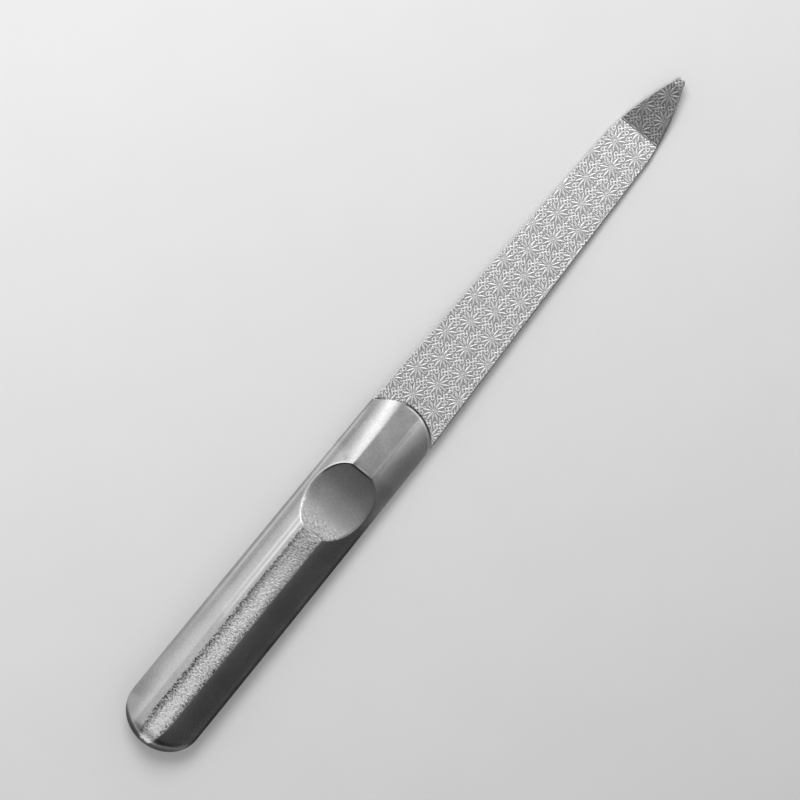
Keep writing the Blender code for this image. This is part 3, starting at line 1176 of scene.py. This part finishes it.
@dataclass
class PressedHandle:
    """The hollow handle: two pressed half shells with a thumb scoop in each."""

    length: float = 0.0828
    rear_width: float = 0.0158
    mouth_width: float = 0.0148
    thickness: float = 0.0064
    mouth_thickness: float = 0.0031
    facet_width: float = 0.0046
    rear_rounding: float = 0.0070
    nose_rounding: float = 0.0032
    flat_stretch: float = 0.0335
    wall: float = 0.0004
    seam_gap: float = 0.00016
    flank_bulge: float = math.radians(15.0)
    mouth_span: float = 0.0135
    mouth_depth: float = 0.0032
    thumb_length: float = 0.01525
    thumb_depth: float = 0.00165
    thumb_setback: float = 0.0230
    rim_rounding: float = 0.00022
    rim_margin: float = 0.0004
    rim_turn: float = math.radians(9.0)
    flank_steps: int = 26
    top_steps: int = 20
    rear_rings: int = 24
    straight_rings: int = 30
    scoop_rings: int = 56

    def __post_init__(self) -> None:
        """Takes the rear end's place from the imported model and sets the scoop's circle."""
        low, _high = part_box("handle_front_shell")
        self.rear_x = low.x
        self.mouth_x = low.x + self.length
        self.seam_z = self.seam_gap / 2
        half_span = self.mouth_span / 2
        self.mouth_radius = (half_span**2 + self.mouth_depth**2) / (2 * self.mouth_depth)
        self.scoop_rear_x = self.mouth_x - self.thumb_setback - self.thumb_length / 2
        self.scoop_front_x = self.scoop_rear_x + self.thumb_length
        rear = Vector((self.scoop_rear_x, self.half_thickness_at(self.scoop_rear_x)))
        front = Vector((self.scoop_front_x, self.half_thickness_at(self.scoop_front_x)))
        chord = front - rear
        half = chord.length / 2
        self.scoop_radius = (half**2 + self.thumb_depth**2) / (2 * self.thumb_depth)
        upward = Vector((-chord.y, chord.x)).normalized()
        self.scoop_axis = (rear + front) / 2 + upward * (self.scoop_radius - self.thumb_depth)

    def half_width_at(self, x: float) -> float:
        """Outer half width at a place along the handle."""
        along = (x - self.rear_x) / self.length
        return (self.rear_width + (self.mouth_width - self.rear_width) * along * abs(along)) / 2

    def half_thickness_at(self, x: float) -> float:
        """Finds the outer half thickness.

        Args:
            x: A place along the handle.

        Returns:
            The height of the facet over the blade's mid-plane.
        """
        start = self.rear_x + self.rear_rounding + self.flat_stretch
        along = max(0.0, (x - start) / (self.mouth_x - start))
        return (self.thickness + (self.mouth_thickness - self.thickness) * along**2) / 2

    def scoop_z(self, x: float) -> float:
        """Height of the scoop's floor, or of open air where the scoop isn't."""
        reach = self.scoop_radius**2 - (x - self.scoop_axis.x) ** 2
        return self.scoop_axis.y - math.sqrt(max(reach, 0.0))

    def mouth_edge_x(self, y: float) -> float:
        """Finds where the sheet ends at the mouth.

        Args:
            y: A place across the handle.

        Returns:
            The X of the edge.
        """
        if abs(y) >= self.mouth_span / 2:
            return self.mouth_x - self.mouth_depth
        return self.mouth_x - self.mouth_radius + math.sqrt(self.mouth_radius**2 - y**2)

    def flank_arc(self, ring: Ring, inset: float = 0.0) -> FlankArc:
        """Finds the arc of one flank's section, between the seam and the facet.

        Args:
            ring: The section's ring.
            inset: How far the arc lies inside the outer face.

        Returns:
            The arc.
        """
        half_facet = self.facet_width / 2
        rise = self.half_thickness_at(ring.x) - self.seam_z
        half_width = self.half_width_at(ring.x)
        fall = math.atan2(rise, half_width - half_facet)
        foot_inset = inset / math.sin(fall + self.flank_bulge)
        top = self.seam_z + (rise - inset) * ring.height_share
        high = Vector((half_facet * ring.width_share, top))
        low = Vector(((half_width - foot_inset) * ring.width_share, self.seam_z))
        chord = low - high
        slope = math.atan2(-chord.y, chord.x)
        bulge = min(self.flank_bulge, slope)
        radius = chord.length / (2 * math.sin(bulge))
        flat = slope - bulge
        centre = high - radius * Vector((math.sin(flat), math.cos(flat)))
        return FlankArc(centre, radius, flat, slope + bulge)

    def inner_half_width(self, x: float, z: float) -> float:
        """Half width of the hollow at a place along the handle and a height."""
        arc = self.flank_arc(Ring(x), self.wall)
        return arc.centre.x + math.sqrt(arc.radius**2 - (z - arc.centre.y) ** 2)

    def stations(self) -> list[Ring]:
        """Sets out the rings of the sheet.

        Returns:
            The rings from the rear end to the mouth.
        """
        rings = [Ring(self.rear_x, 0.0, 0.0)]
        for step in range(1, self.rear_rings + 1):
            turn = math.radians(90.0) * step / self.rear_rings
            ahead = self.rear_rounding * (1 - math.cos(turn))
            to_level = max(0.0, 1 - ahead / self.nose_rounding)
            height_share = math.sqrt(1 - to_level**2)
            rings.append(Ring(self.rear_x + ahead, math.sin(turn), height_share))
        rear, front = self.scoop_rear_x, self.scoop_front_x
        level = self.rear_x + self.rear_rounding
        for step in range(1, self.straight_rings + 1):
            rings.append(Ring(level + (rear - level) * step / self.straight_rings))
        for step in range(1, self.scoop_rings + 1):
            share = (1 - math.cos(math.radians(180.0) * step / self.scoop_rings)) / 2
            rings.append(Ring(rear + (front - rear) * share))
        for step in range(1, self.straight_rings + 1):
            share = step / self.straight_rings
            rings.append(Ring(front + (self.mouth_x - front) * share, turned=share))
        return rings

    def profile_point(self, ring: Ring, index: int) -> Point:
        """Finds one point of the pressed sheet's section.

        Args:
            ring: The section's ring, whose turn isn't counted.
            index: 0 at the +Y base, up to twice flank_steps plus top_steps at -Y.

        Returns:
            The point's Y and Z.
        """
        last = 2 * self.flank_steps + self.top_steps
        if index > last / 2:
            y, z = self.profile_point(ring, last - index)
            return -y, z
        if ring.width_share == 0.0:
            return 0.0, self.seam_z
        arc = self.flank_arc(ring)
        top = arc.centre.y + arc.radius * math.cos(arc.flat)
        scooped = self.scoop_rear_x < ring.x < self.scoop_front_x
        ceiling = min(top, self.scoop_z(ring.x)) if scooped else top
        upper = math.acos((ceiling - arc.centre.y) / arc.radius) if ceiling < top else arc.flat
        step = min(index, self.flank_steps) / self.flank_steps
        y, z = arc.at(arc.steep + (upper - arc.steep) * step)
        if index > self.flank_steps:
            inward = (index - self.flank_steps) / (self.top_steps / 2)
            return y * (1 - inward), ceiling
        return y, z

    def sheet_point(self, ring: Ring, index: int) -> Vector:
        """Finds one point of the sheet's outer face.

        Args:
            ring: The point's ring.
            index: Its place along the ring.

        Returns:
            The point.
        """
        y, z = self.profile_point(ring, index)
        if ring.turned > 0.0:
            reach = (self.mouth_edge_x(y) - self.scoop_front_x) * ring.turned
            ring = ring._replace(x=self.scoop_front_x + reach)
            y, z = self.profile_point(ring, index)
        return Vector((ring.x, y, z))

    def rim_distance(self, x: float, point: Vector) -> float:
        """How far a point of the sheet lies inside the scoop's rim, negative outside it.

        Args:
            x: The place of the point's ring.
            point: The point itself.

        Returns:
            The distance in metres.
        """
        rear, front = self.scoop_rear_x, self.scoop_front_x
        if not rear <= x <= front:
            return -min(abs(x - rear), abs(x - front))
        y, z = self.profile_point(Ring(x), self.flank_steps)
        inside = y - abs(point.y)
        if inside < 0.0:
            return -math.hypot(inside, point.z - z)
        return min(inside, x - rear, front - x)

    def press_sheet(self) -> Piece:
        """Presses a flat grid into the outer face of the front shell.

        Returns:
            The sheet, without thickness.
        """
        rings = self.stations()
        deselect_all()
        bpy.ops.mesh.primitive_grid_add(
            x_subdivisions=len(rings) - 1,
            y_subdivisions=2 * self.flank_steps + self.top_steps,
            size=self.rear_width,
            location=(0.0, 0.0, 0.0),
        )
        sheet = bpy.context.object
        rims = sheet.data.attributes.new("rim", "FLOAT", "POINT")
        for index, vertex in enumerate(sheet.data.vertices):
            row, column = divmod(index, len(rings))
            vertex.co = self.sheet_point(rings[column], row)
            rims.data[index].value = self.rim_distance(rings[column].x, vertex.co)
        return sheet

    def is_rim(self, edge: bmesh.types.BMEdge) -> bool:
        """Tells an edge of the scoop's rim.

        Args:
            edge: An edge of the shell.

        Returns:
            Whether it gets rounded.
        """
        middle = (edge.verts[0].co + edge.verts[1].co) / 2
        rear, front = self.scoop_rear_x - self.rim_margin, self.scoop_front_x + self.rim_margin
        if not rear < middle.x < front or len(edge.link_faces) != 2:
            return False
        raised = middle.z > self.scoop_z(middle.x) - self.rim_margin / 4
        return edge.is_convex and edge.calc_face_angle() > self.rim_turn and raised

    def build_shell(self, side: Side, steel: Material) -> Piece:
        """Makes one half shell and puts it where its CAD node is.

        Args:
            side: Front or back.
            steel: The handle's finish.

        Returns:
            The finished piece.
        """
        shell = self.press_sheet()
        outward(shell)
        if shell.data.polygons[len(shell.data.polygons) // 2].normal.z < 0:
            with editing(shell):
                bpy.ops.mesh.flip_normals()
        apply_modifier(shell, "SOLIDIFY", thickness=self.wall, offset=-1.0, use_even_offset=True)
        with editing(shell):
            LOG.info("scoop rim: %d edges", select_edges(shell, self.is_rim))
            bpy.ops.mesh.bevel(
                offset=self.rim_rounding, segments=3, profile=0.5, clamp_overlap=True
            )
        outward(shell)
        smooth(shell, degrees=30.0)
        shell.data.materials.append(steel)
        if side is Side.BACK:
            shell.data.transform(Matrix.Rotation(math.pi, 4, "X"))
        place(shell, f"pressed_{side.label}_shell", "pressed_steel", f"handle_{side.label}_shell")
        return shell


# Blade


def arc_points(start: Vector, end: Vector, radius: float, steps: int) -> list[Vector]:
    """Points after start, up to end, on an arc that turns clockwise between them.

    Args:
        start: Where the arc starts.
        end: Where it ends.
        radius: Its radius.
        steps: How many chords it has.

    Returns:
        The points.
    """
    chord = end - start
    rise = math.sqrt(radius**2 - (chord.length / 2) ** 2)
    centre = (start + end) / 2 + Vector((chord.y, -chord.x)).normalized() * rise
    first = math.atan2(start.y - centre.y, start.x - centre.x)
    last = math.atan2(end.y - centre.y, end.x - centre.x)
    points = []
    for step in range(1, steps + 1):
        turn = first + (last - first) * step / steps
        points.append(centre + radius * Vector((math.cos(turn), math.sin(turn))))
    return points


@dataclass
class EtchedBlade:
    """The steel strip with its tang, bevelled edges, rosette etch and bent tip."""

    handle: PressedHandle
    thickness: float = 0.0010
    length: float = 0.0689
    bend_width: float = 0.0101
    edge_bevel: float = 0.0003
    tang_length: float = 0.0340
    tang_clearance: float = 0.0002
    tang_end_radius: float = 0.0030
    shoulder_clearance: float = 0.0002
    tip_length: float = 0.01355
    tip_curve_lead: float = 0.0034
    tip_curve_radius: float = 0.058
    tip_end_radius: float = 0.00115
    tip_angle: float = math.radians(11.0)
    bend_radius: float = 0.0012
    bend_steps: int = 4
    corner_steps: int = 8
    tip_curve_steps: int = 24
    corner_turn: float = math.radians(45.0)
    level_normal: float = 0.9
    first_column: float = 0.0009
    plain_margin: float = 0.0001
    etch_height: float = 0.00008
    wall_width: float = 0.00012
    filler_wall_width: float = 0.00004
    side_rise: float = 1.36
    dome_rise: float = 0.14
    dome_length: float = 0.7
    dome_width: float = 0.5
    least_top: float = 0.3
    lens_fullness: float = 1.5
    dot_size: float = 0.00036
    dot_spacing: float = 0.00052
    bar_length: float = 0.00062
    bar_width: float = 0.00026
    bar_reach: float = 0.00034

    def __post_init__(self) -> None:
        """Finds the shoulders, the tang's width and the bend line."""
        corner_x = self.handle.mouth_x - self.handle.mouth_depth
        self.shoulder_x = corner_x + self.shoulder_clearance
        corner_z = self.thickness / 2 + self.tang_clearance
        inside = self.handle.inner_half_width(corner_x, corner_z)
        self.tang_half_width = inside - self.tang_clearance
        self.bend_x = self.handle.mouth_x + self.length
        self.grid = RosetteGrid(self.shoulder_x + self.first_column, self.bend_x, self.tip_angle)

    def tang_outline(self) -> list[Vector]:
        """Draws the tang's rounded end.

        Returns:
            The +Y half of its outline.
        """
        rear_x, radius = self.shoulder_x - self.tang_length, self.tang_end_radius
        start = Vector((rear_x, self.tang_half_width - radius))
        corner = Vector((rear_x + radius, self.tang_half_width))
        return [start, *arc_points(start, corner, radius, self.corner_steps)]

    def shoulder_outline(self, clearance: float) -> list[Vector]:
        """Draws the +Y shoulder from the tang out along the mouth's arc.

        Args:
            clearance: How far it stays from the mouth.

        Returns:
            The outline's points.
        """
        reach = self.handle.mouth_radius + clearance
        centre_x = self.handle.mouth_x - self.handle.mouth_radius
        neck_x = centre_x + math.sqrt(reach**2 - self.tang_half_width**2)
        neck = Vector((neck_x, self.tang_half_width))
        back = self.shoulder_x - centre_x
        corner = Vector((self.shoulder_x, math.sqrt(reach**2 - back**2)))
        return [corner, *arc_points(corner, neck, reach, self.corner_steps)][::-1]

    def side_outline(self, inset: float) -> list[Vector]:
        """Draws the +Y edge of the unbent blade from its shoulder to its very end.

        Args:
            inset: How far it lies inside the blade's own edge.

        Returns:
            The outline's points.
        """
        shoulder = self.handle.half_width_at(self.shoulder_x)
        taper = (shoulder - self.bend_width / 2) / (self.bend_x - self.shoulder_x)
        curve_x = self.bend_x - self.tip_curve_lead
        curve_y = shoulder - taper * (curve_x - self.shoulder_x) - inset
        curve = Vector((curve_x, curve_y))
        end_radius = self.tip_end_radius - inset
        end_x = self.bend_x + self.tip_length - self.tip_end_radius
        nose = Vector((end_x, end_radius))
        very_end = Vector((end_x + end_radius, 0.0))
        return [
            Vector((self.shoulder_x, shoulder - inset)),
            curve,
            *arc_points(curve, nose, self.tip_curve_radius, self.tip_curve_steps),
            *arc_points(nose, very_end, end_radius, self.corner_steps),
        ]

    def plate(self, upper: list[Vector], low_z: float, high_z: float) -> Piece:
        """Makes a flat plate from one half of its outline, mirrored at the axis.

        Args:
            upper: The +Y half, whose last point is on the axis.
            low_z: The underside.
            high_z: The upper face.

        Returns:
            The closed plate.
        """
        outline = [(p.x, p.y) for p in upper] + [(p.x, -p.y) for p in reversed(upper[:-1])]
        blank = flat_face(outline, low_z)
        with editing(blank):
            extrude(high_z - low_z)
            bpy.ops.mesh.select_all(action="SELECT")
            bpy.ops.mesh.normals_make_consistent(inside=False)
        return blank

    def bend(self, piece: Piece) -> None:
        """Bends all that lies beyond the bend line upwards, in small turns of the sheet.

        Args:
            piece: The flat piece.
        """
        arc_length = self.bend_radius * self.tip_angle
        with editing(piece):
            for step in range(self.bend_steps + 1):
                bpy.ops.mesh.select_all(action="SELECT")
                bpy.ops.mesh.bisect(
                    plane_co=(self.bend_x + arc_length * step / self.bend_steps, 0.0, 0.0),
                    plane_no=(1.0, 0.0, 0.0),
                    threshold=MERGE_DISTANCE,
                )
        for vertex in piece.data.vertices:
            along = vertex.co.x - self.bend_x
            if along <= 0.0:
                continue
            turn = min(along / self.bend_radius, self.tip_angle)
            beyond = max(along - arc_length, 0.0)
            reach = self.bend_radius - vertex.co.z
            vertex.co.x = self.bend_x + reach * math.sin(turn) + beyond * math.cos(turn)
            vertex.co.z = self.bend_radius - reach * math.cos(turn) + beyond * math.sin(turn)

    def is_edge(self, edge: bmesh.types.BMEdge) -> bool:
        """Tells an edge of the upper or lower face ahead of the mouth.

        Args:
            edge: An edge of the plate.

        Returns:
            Whether it gets bevelled.
        """
        first, second = edge.verts
        level = abs(first.co.z - second.co.z) < self.thickness / 2
        beyond = max(first.co.x, second.co.x) > self.handle.mouth_x
        return level and beyond and edge.calc_face_angle() > self.corner_turn

    def build_blank(self, finishes: list[Material]) -> Piece:
        """Makes the strip itself, which stands for the CAD blade.

        Args:
            finishes: The etched ground's finish and that of the ground edges.

        Returns:
            The finished piece.
        """
        shoulder = self.shoulder_outline(self.shoulder_clearance)
        outline = [*self.tang_outline(), *shoulder, *self.side_outline(0.0)]
        blank = self.plate(outline, -self.thickness / 2, self.thickness / 2)
        with editing(blank):
            select_edges(blank, self.is_edge)
            bpy.ops.mesh.bevel(offset=self.edge_bevel, segments=1)
        self.bend(blank)
        outward(blank)
        smooth(blank, degrees=25.0)
        for finish in finishes:
            blank.data.materials.append(finish)
        for face in blank.data.polygons:
            face.material_index = 1 if abs(face.normal.z) < self.level_normal else 0
        place(blank, "blade_blank", "etched_steel", "file_blade")
        return blank

    def land(self, outline: list[Point], slope: float) -> Piece:
        """Makes a low land left standing by the etch, with sloping sides and a domed top.

        Args:
            outline: Its foot, anticlockwise, about its own middle.
            slope: How far the sides lean in, in metres.

        Returns:
            The land, whose foot is sunk into Z = 0 by half the etch's height.
        """
        made = flat_face(outline, -self.etch_height / 2)
        length = max(x for x, _y in outline)
        width = max(y for _x, y in outline)
        with editing(made):
            extrude(self.etch_height * self.side_rise)
            resize(max(self.least_top, 1 - slope / length), max(self.least_top, 1 - slope / width))
            extrude(self.etch_height * self.dome_rise)
            resize(self.dome_length, self.dome_width)
        for face in made.data.polygons:
            low = min(made.data.vertices[i].co.z for i in face.vertices)
            face.material_index = 1 if low < self.etch_height / 2 else 0
        return made

    def lens(self, length: float, width: float, points: int = 12) -> list[Point]:
        """Draws a pointed oval.

        Args:
            length: Its length along X.
            width: Its width along Y.
            points: How many points it has.

        Returns:
            The outline, anticlockwise.
        """
        outline = []
        for step in range(points):
            turn = 2 * math.pi * step / points
            swell = math.copysign(abs(math.sin(turn)) ** self.lens_fullness, math.sin(turn))
            outline.append((math.cos(turn) * length / 2, swell * width / 2))
        return outline

    def filler(self, length: float, width: float) -> Piece:
        """A small land with fewer points, for the room that the petals leave."""
        return self.land(self.lens(length, width, points=8), self.filler_wall_width)

    def petals(self) -> list[Piece]:
        """Makes the petals of one rosette.

        Returns:
            Four of each slanting kind, and two of each straight one.
        """
        made = []
        out = Matrix.Translation((self.grid.petal_middle, 0.0, 0.0))
        for petal in Petal:
            angle, width = petal.value
            source = self.land(self.lens(self.grid.petal_length, width), self.wall_width)
            turns = {angle, -angle, 180 - angle, 180 + angle}
            for turn in {turn % 360 for turn in turns}:
                made.append(stamp(source.data, Matrix.Rotation(math.radians(turn), 4, "Z") @ out))
            drop(source)
        return made

    def fillers(self) -> list[Piece]:
        """Makes the dots and bars that go with one rosette.

        Returns:
            A dot in its eye, three between it and the next in its column, and a
            three-armed star of bars on either side.
        """
        dot = self.filler(self.dot_size, self.dot_size)
        made = [stamp(dot.data, Matrix.Identity(4))]
        across = self.grid.rosette_spacing / 2
        for x in (0.0, self.dot_spacing, -self.dot_spacing):
            made.append(stamp(dot.data, Matrix.Translation((x, across, 0.0))))
        drop(dot)
        bar = self.filler(self.bar_length, self.bar_width)
        out = Matrix.Translation((self.bar_reach, 0.0, 0.0))
        for sign, first_turn in ((-1, 180), (1, 0)):
            hub = Matrix.Translation((sign * self.grid.column_spacing * 2 / 3, 0.0, 0.0))
            for turn in (0, 120, 240):
                spin = Matrix.Rotation(math.radians(turn + first_turn), 4, "Z")
                made.append(stamp(bar.data, hub @ spin @ out))
        drop(bar)
        return made

    def rosette(self) -> bpy.types.Mesh:
        """Makes one rosette with its share of the fillers between neighbours.

        Returns:
            The mesh, centred on the rosette.
        """
        whole = join([*self.petals(), *self.fillers()])
        mesh = whole.data
        drop(whole)
        return mesh

    def build_etch(self, side: Side, tile: bpy.types.Mesh, finishes: list[Material]) -> Piece:
        """Lays the rosettes over one face and trims them to the plain edge strip.

        Args:
            side: Front or back.
            tile: One rosette.
            finishes: The lands' finish and the finish of their sloping sides.

        Returns:
            The finished piece.
        """
        places = self.grid.places(self.bend_x + self.tip_length)
        face_z = self.thickness / 2
        etch = join([stamp(tile, Matrix.Translation((x, y, face_z))) for x, y in places])
        etch.data.materials.clear()
        for finish in finishes:
            etch.data.materials.append(finish)
        shoulder = self.shoulder_outline(self.shoulder_clearance + self.plain_margin)
        outline = self.side_outline(self.edge_bevel + self.plain_margin)
        limit = self.plate([*shoulder, *outline], 0.0, self.thickness)
        apply_modifier(etch, "BOOLEAN", operation="INTERSECT", solver="EXACT", object=limit)
        drop(limit)
        if side is Side.BACK:
            etch.data.transform(Matrix.Scale(-1.0, 4, (0.0, 0.0, 1.0)))
        self.bend(etch)
        outward(etch)
        smooth(etch, degrees=20.0)
        place(etch, f"rosette_etch_{side.label}", "etched_steel")
        return etch


# Studio


@dataclass
class Studio:
    """The table, the light and the camera of the photograph.

    Each of the tent's levels is how far towards its bright side a level of light
    stands, from -1 to 1, and the level. Each of its panels is a direction, the least
    cosine from it that is still inside, and the light that it adds.
    """

    table_size: float = 3.0
    belly_x: float = -0.0400
    belly_z: float = -0.0032
    rest_x: float = 0.0692
    rest_z: float = -0.00058
    view_centre: Point = (0.00015, 0.00311)
    view_width: float = 0.15446
    axis_angle: float = math.radians(50.82)
    camera_height: float = 0.80
    sensor_width: float = 36.0
    key_size: float = 0.46
    key_power: float = 3.0
    key_place: Direction = (0.31, 0.33, 0.65)
    room_level: float = 0.52
    tent_side: Direction = (0.55, 0.835, 0.0)
    tent_levels: tuple[Point, ...] = (
        (-1.0, 0.05),
        (-0.58, 0.06),
        (-0.45, 0.10),
        (-0.33, 0.16),
        (-0.17, 0.19),
        (0.0, 0.34),
        (0.17, 0.46),
        (0.33, 0.84),
        (0.50, 0.80),
        (0.60, 0.88),
        (0.67, 0.86),
        (0.73, 0.60),
        (0.78, 0.51),
        (0.84, 0.49),
        (1.0, 0.45),
    )
    tent_panels: tuple[tuple[Direction, float, float], ...] = (
        ((-0.985, -0.05, 0.17), 0.94, 1.2),
        ((-0.66, 0.58, 0.48), 0.91, -0.16),
    )
    panel_edge: float = 0.03

    def lay_table(self) -> None:
        """Lays the table through the two lines that the file rests on."""
        deselect_all()
        bpy.ops.mesh.primitive_grid_add(x_subdivisions=8, y_subdivisions=8, size=self.table_size)
        table = bpy.context.object
        slope = (self.rest_z - self.belly_z) / (self.rest_x - self.belly_x)
        for vertex in table.data.vertices:
            vertex.co.z = self.belly_z + (vertex.co.x - self.belly_x) * slope
        table.name = "table"
        table.data.materials.append(TableTop().make())

    def hang_lamp(self) -> None:
        """Hangs one soft lamp, which faces the file."""
        lamp = bpy.data.lights.new("key", "AREA")
        lamp.shape = "DISK"
        lamp.size = self.key_size
        lamp.energy = self.key_power
        holder = bpy.data.objects.new("key", lamp)
        holder.location = self.key_place
        holder.rotation_euler = Vector(self.key_place).to_track_quat("Z", "Y").to_euler()
        bpy.context.scene.collection.objects.link(holder)

    def tent_light(self, nodes: NodeTree) -> Socket:
        """Colours the tent that the metal mirrors.

        Args:
            nodes: The world's tree.

        Returns:
            The colour in each direction.
        """
        direction = nodes.add("TexCoord").outputs["Generated"]
        height = nodes.toward(direction, self.tent_side)
        height = nodes.math("MULTIPLY_ADD", height, 0.5, 0.5, clamp=True)
        ramp = nodes.add("ValToRGB", {"Fac": height})
        ramp.color_ramp.interpolation = "EASE"
        stops = ramp.color_ramp.elements
        while len(stops) < len(self.tent_levels):
            stops.new(0.5)
        for stop, (where, level) in zip(stops, self.tent_levels):
            stop.position = where * 0.5 + 0.5
            stop.color = (level, level, level, 1.0)
        tent = ramp.outputs[0]
        for panel, least, level in self.tent_panels:
            spot = nodes.band(nodes.toward(direction, panel), (least, least + self.panel_edge))
            tent = nodes.vector("ADD", tent, nodes.grey(nodes.times(spot, level))).outputs[0]
        return tent

    def pitch_tent(self) -> None:
        """Puts up an even room, and the tent for what the metal mirrors."""
        world = bpy.data.worlds.new("tent")
        world.use_nodes = True
        bpy.context.scene.world = world
        nodes = NodeTree(world.node_tree)
        background = world.node_tree.nodes["Background"]
        output = world.node_tree.nodes["World Output"]
        nodes.link(self.tent_light(nodes), background.inputs["Color"])
        room = nodes.add("Background", {"Color": (*(self.room_level,) * 3, 1.0)})
        mirrored = nodes.add("LightPath").outputs["Is Glossy Ray"]
        mix = nodes.add("MixShader", {0: mirrored, 1: room.outputs[0], 2: background.outputs[0]})
        nodes.link(mix.outputs[0], output.inputs["Surface"])

    def aim_camera(self) -> None:
        """Puts the camera straight above, turned so that the file lies as in the photo."""
        data = bpy.data.cameras.new("camera")
        camera = bpy.data.objects.new("camera", data)
        bpy.context.scene.collection.objects.link(camera)
        data.sensor_width = self.sensor_width
        data.lens = self.sensor_width * self.camera_height / self.view_width
        data.clip_start = 0.01
        data.clip_end = 10.0
        camera.location = (*self.view_centre, self.camera_height)
        camera.rotation_euler = (0.0, 0.0, -self.axis_angle)
        bpy.context.scene.camera = camera

    def set_colours(self) -> None:
        """Keeps colours as they are written."""
        bpy.context.scene.view_settings.view_transform = "Standard"


def main() -> None:
    """Builds the nail file, then the studio round it."""
    logging.basicConfig(level=logging.INFO, format="%(message)s")
    handle = PressedHandle()
    blade = EtchedBlade(handle)
    effects = Effects(blade.grid)
    steel = PressedSteel().make(effects)
    ground = EtchedSteel("etched_ground", 0.93, 0.42, 0.08, stroke_depth=0.72).make(effects)
    lands = EtchedSteel("filing_lands", 0.84, 0.42, 0.08).make(effects)
    walls = EtchedSteel("etched_walls", 0.26, 0.50, 0.05).make(effects)
    edges = EtchedSteel("ground_edges", 0.92, 0.24, 0.04, shaded_tip=False, painted_edge_shade=0.55).make(effects)

    for side in Side:
        handle.build_shell(side, steel)
    blade.build_blank([ground, edges])
    tile = blade.rosette()
    for side in Side:
        blade.build_etch(side, tile, [lands, walls])

    studio = Studio()
    studio.lay_table()
    studio.hang_lamp()
    studio.pitch_tent()
    studio.aim_camera()
    studio.set_colours()


if __name__ == "__main__":
    main()
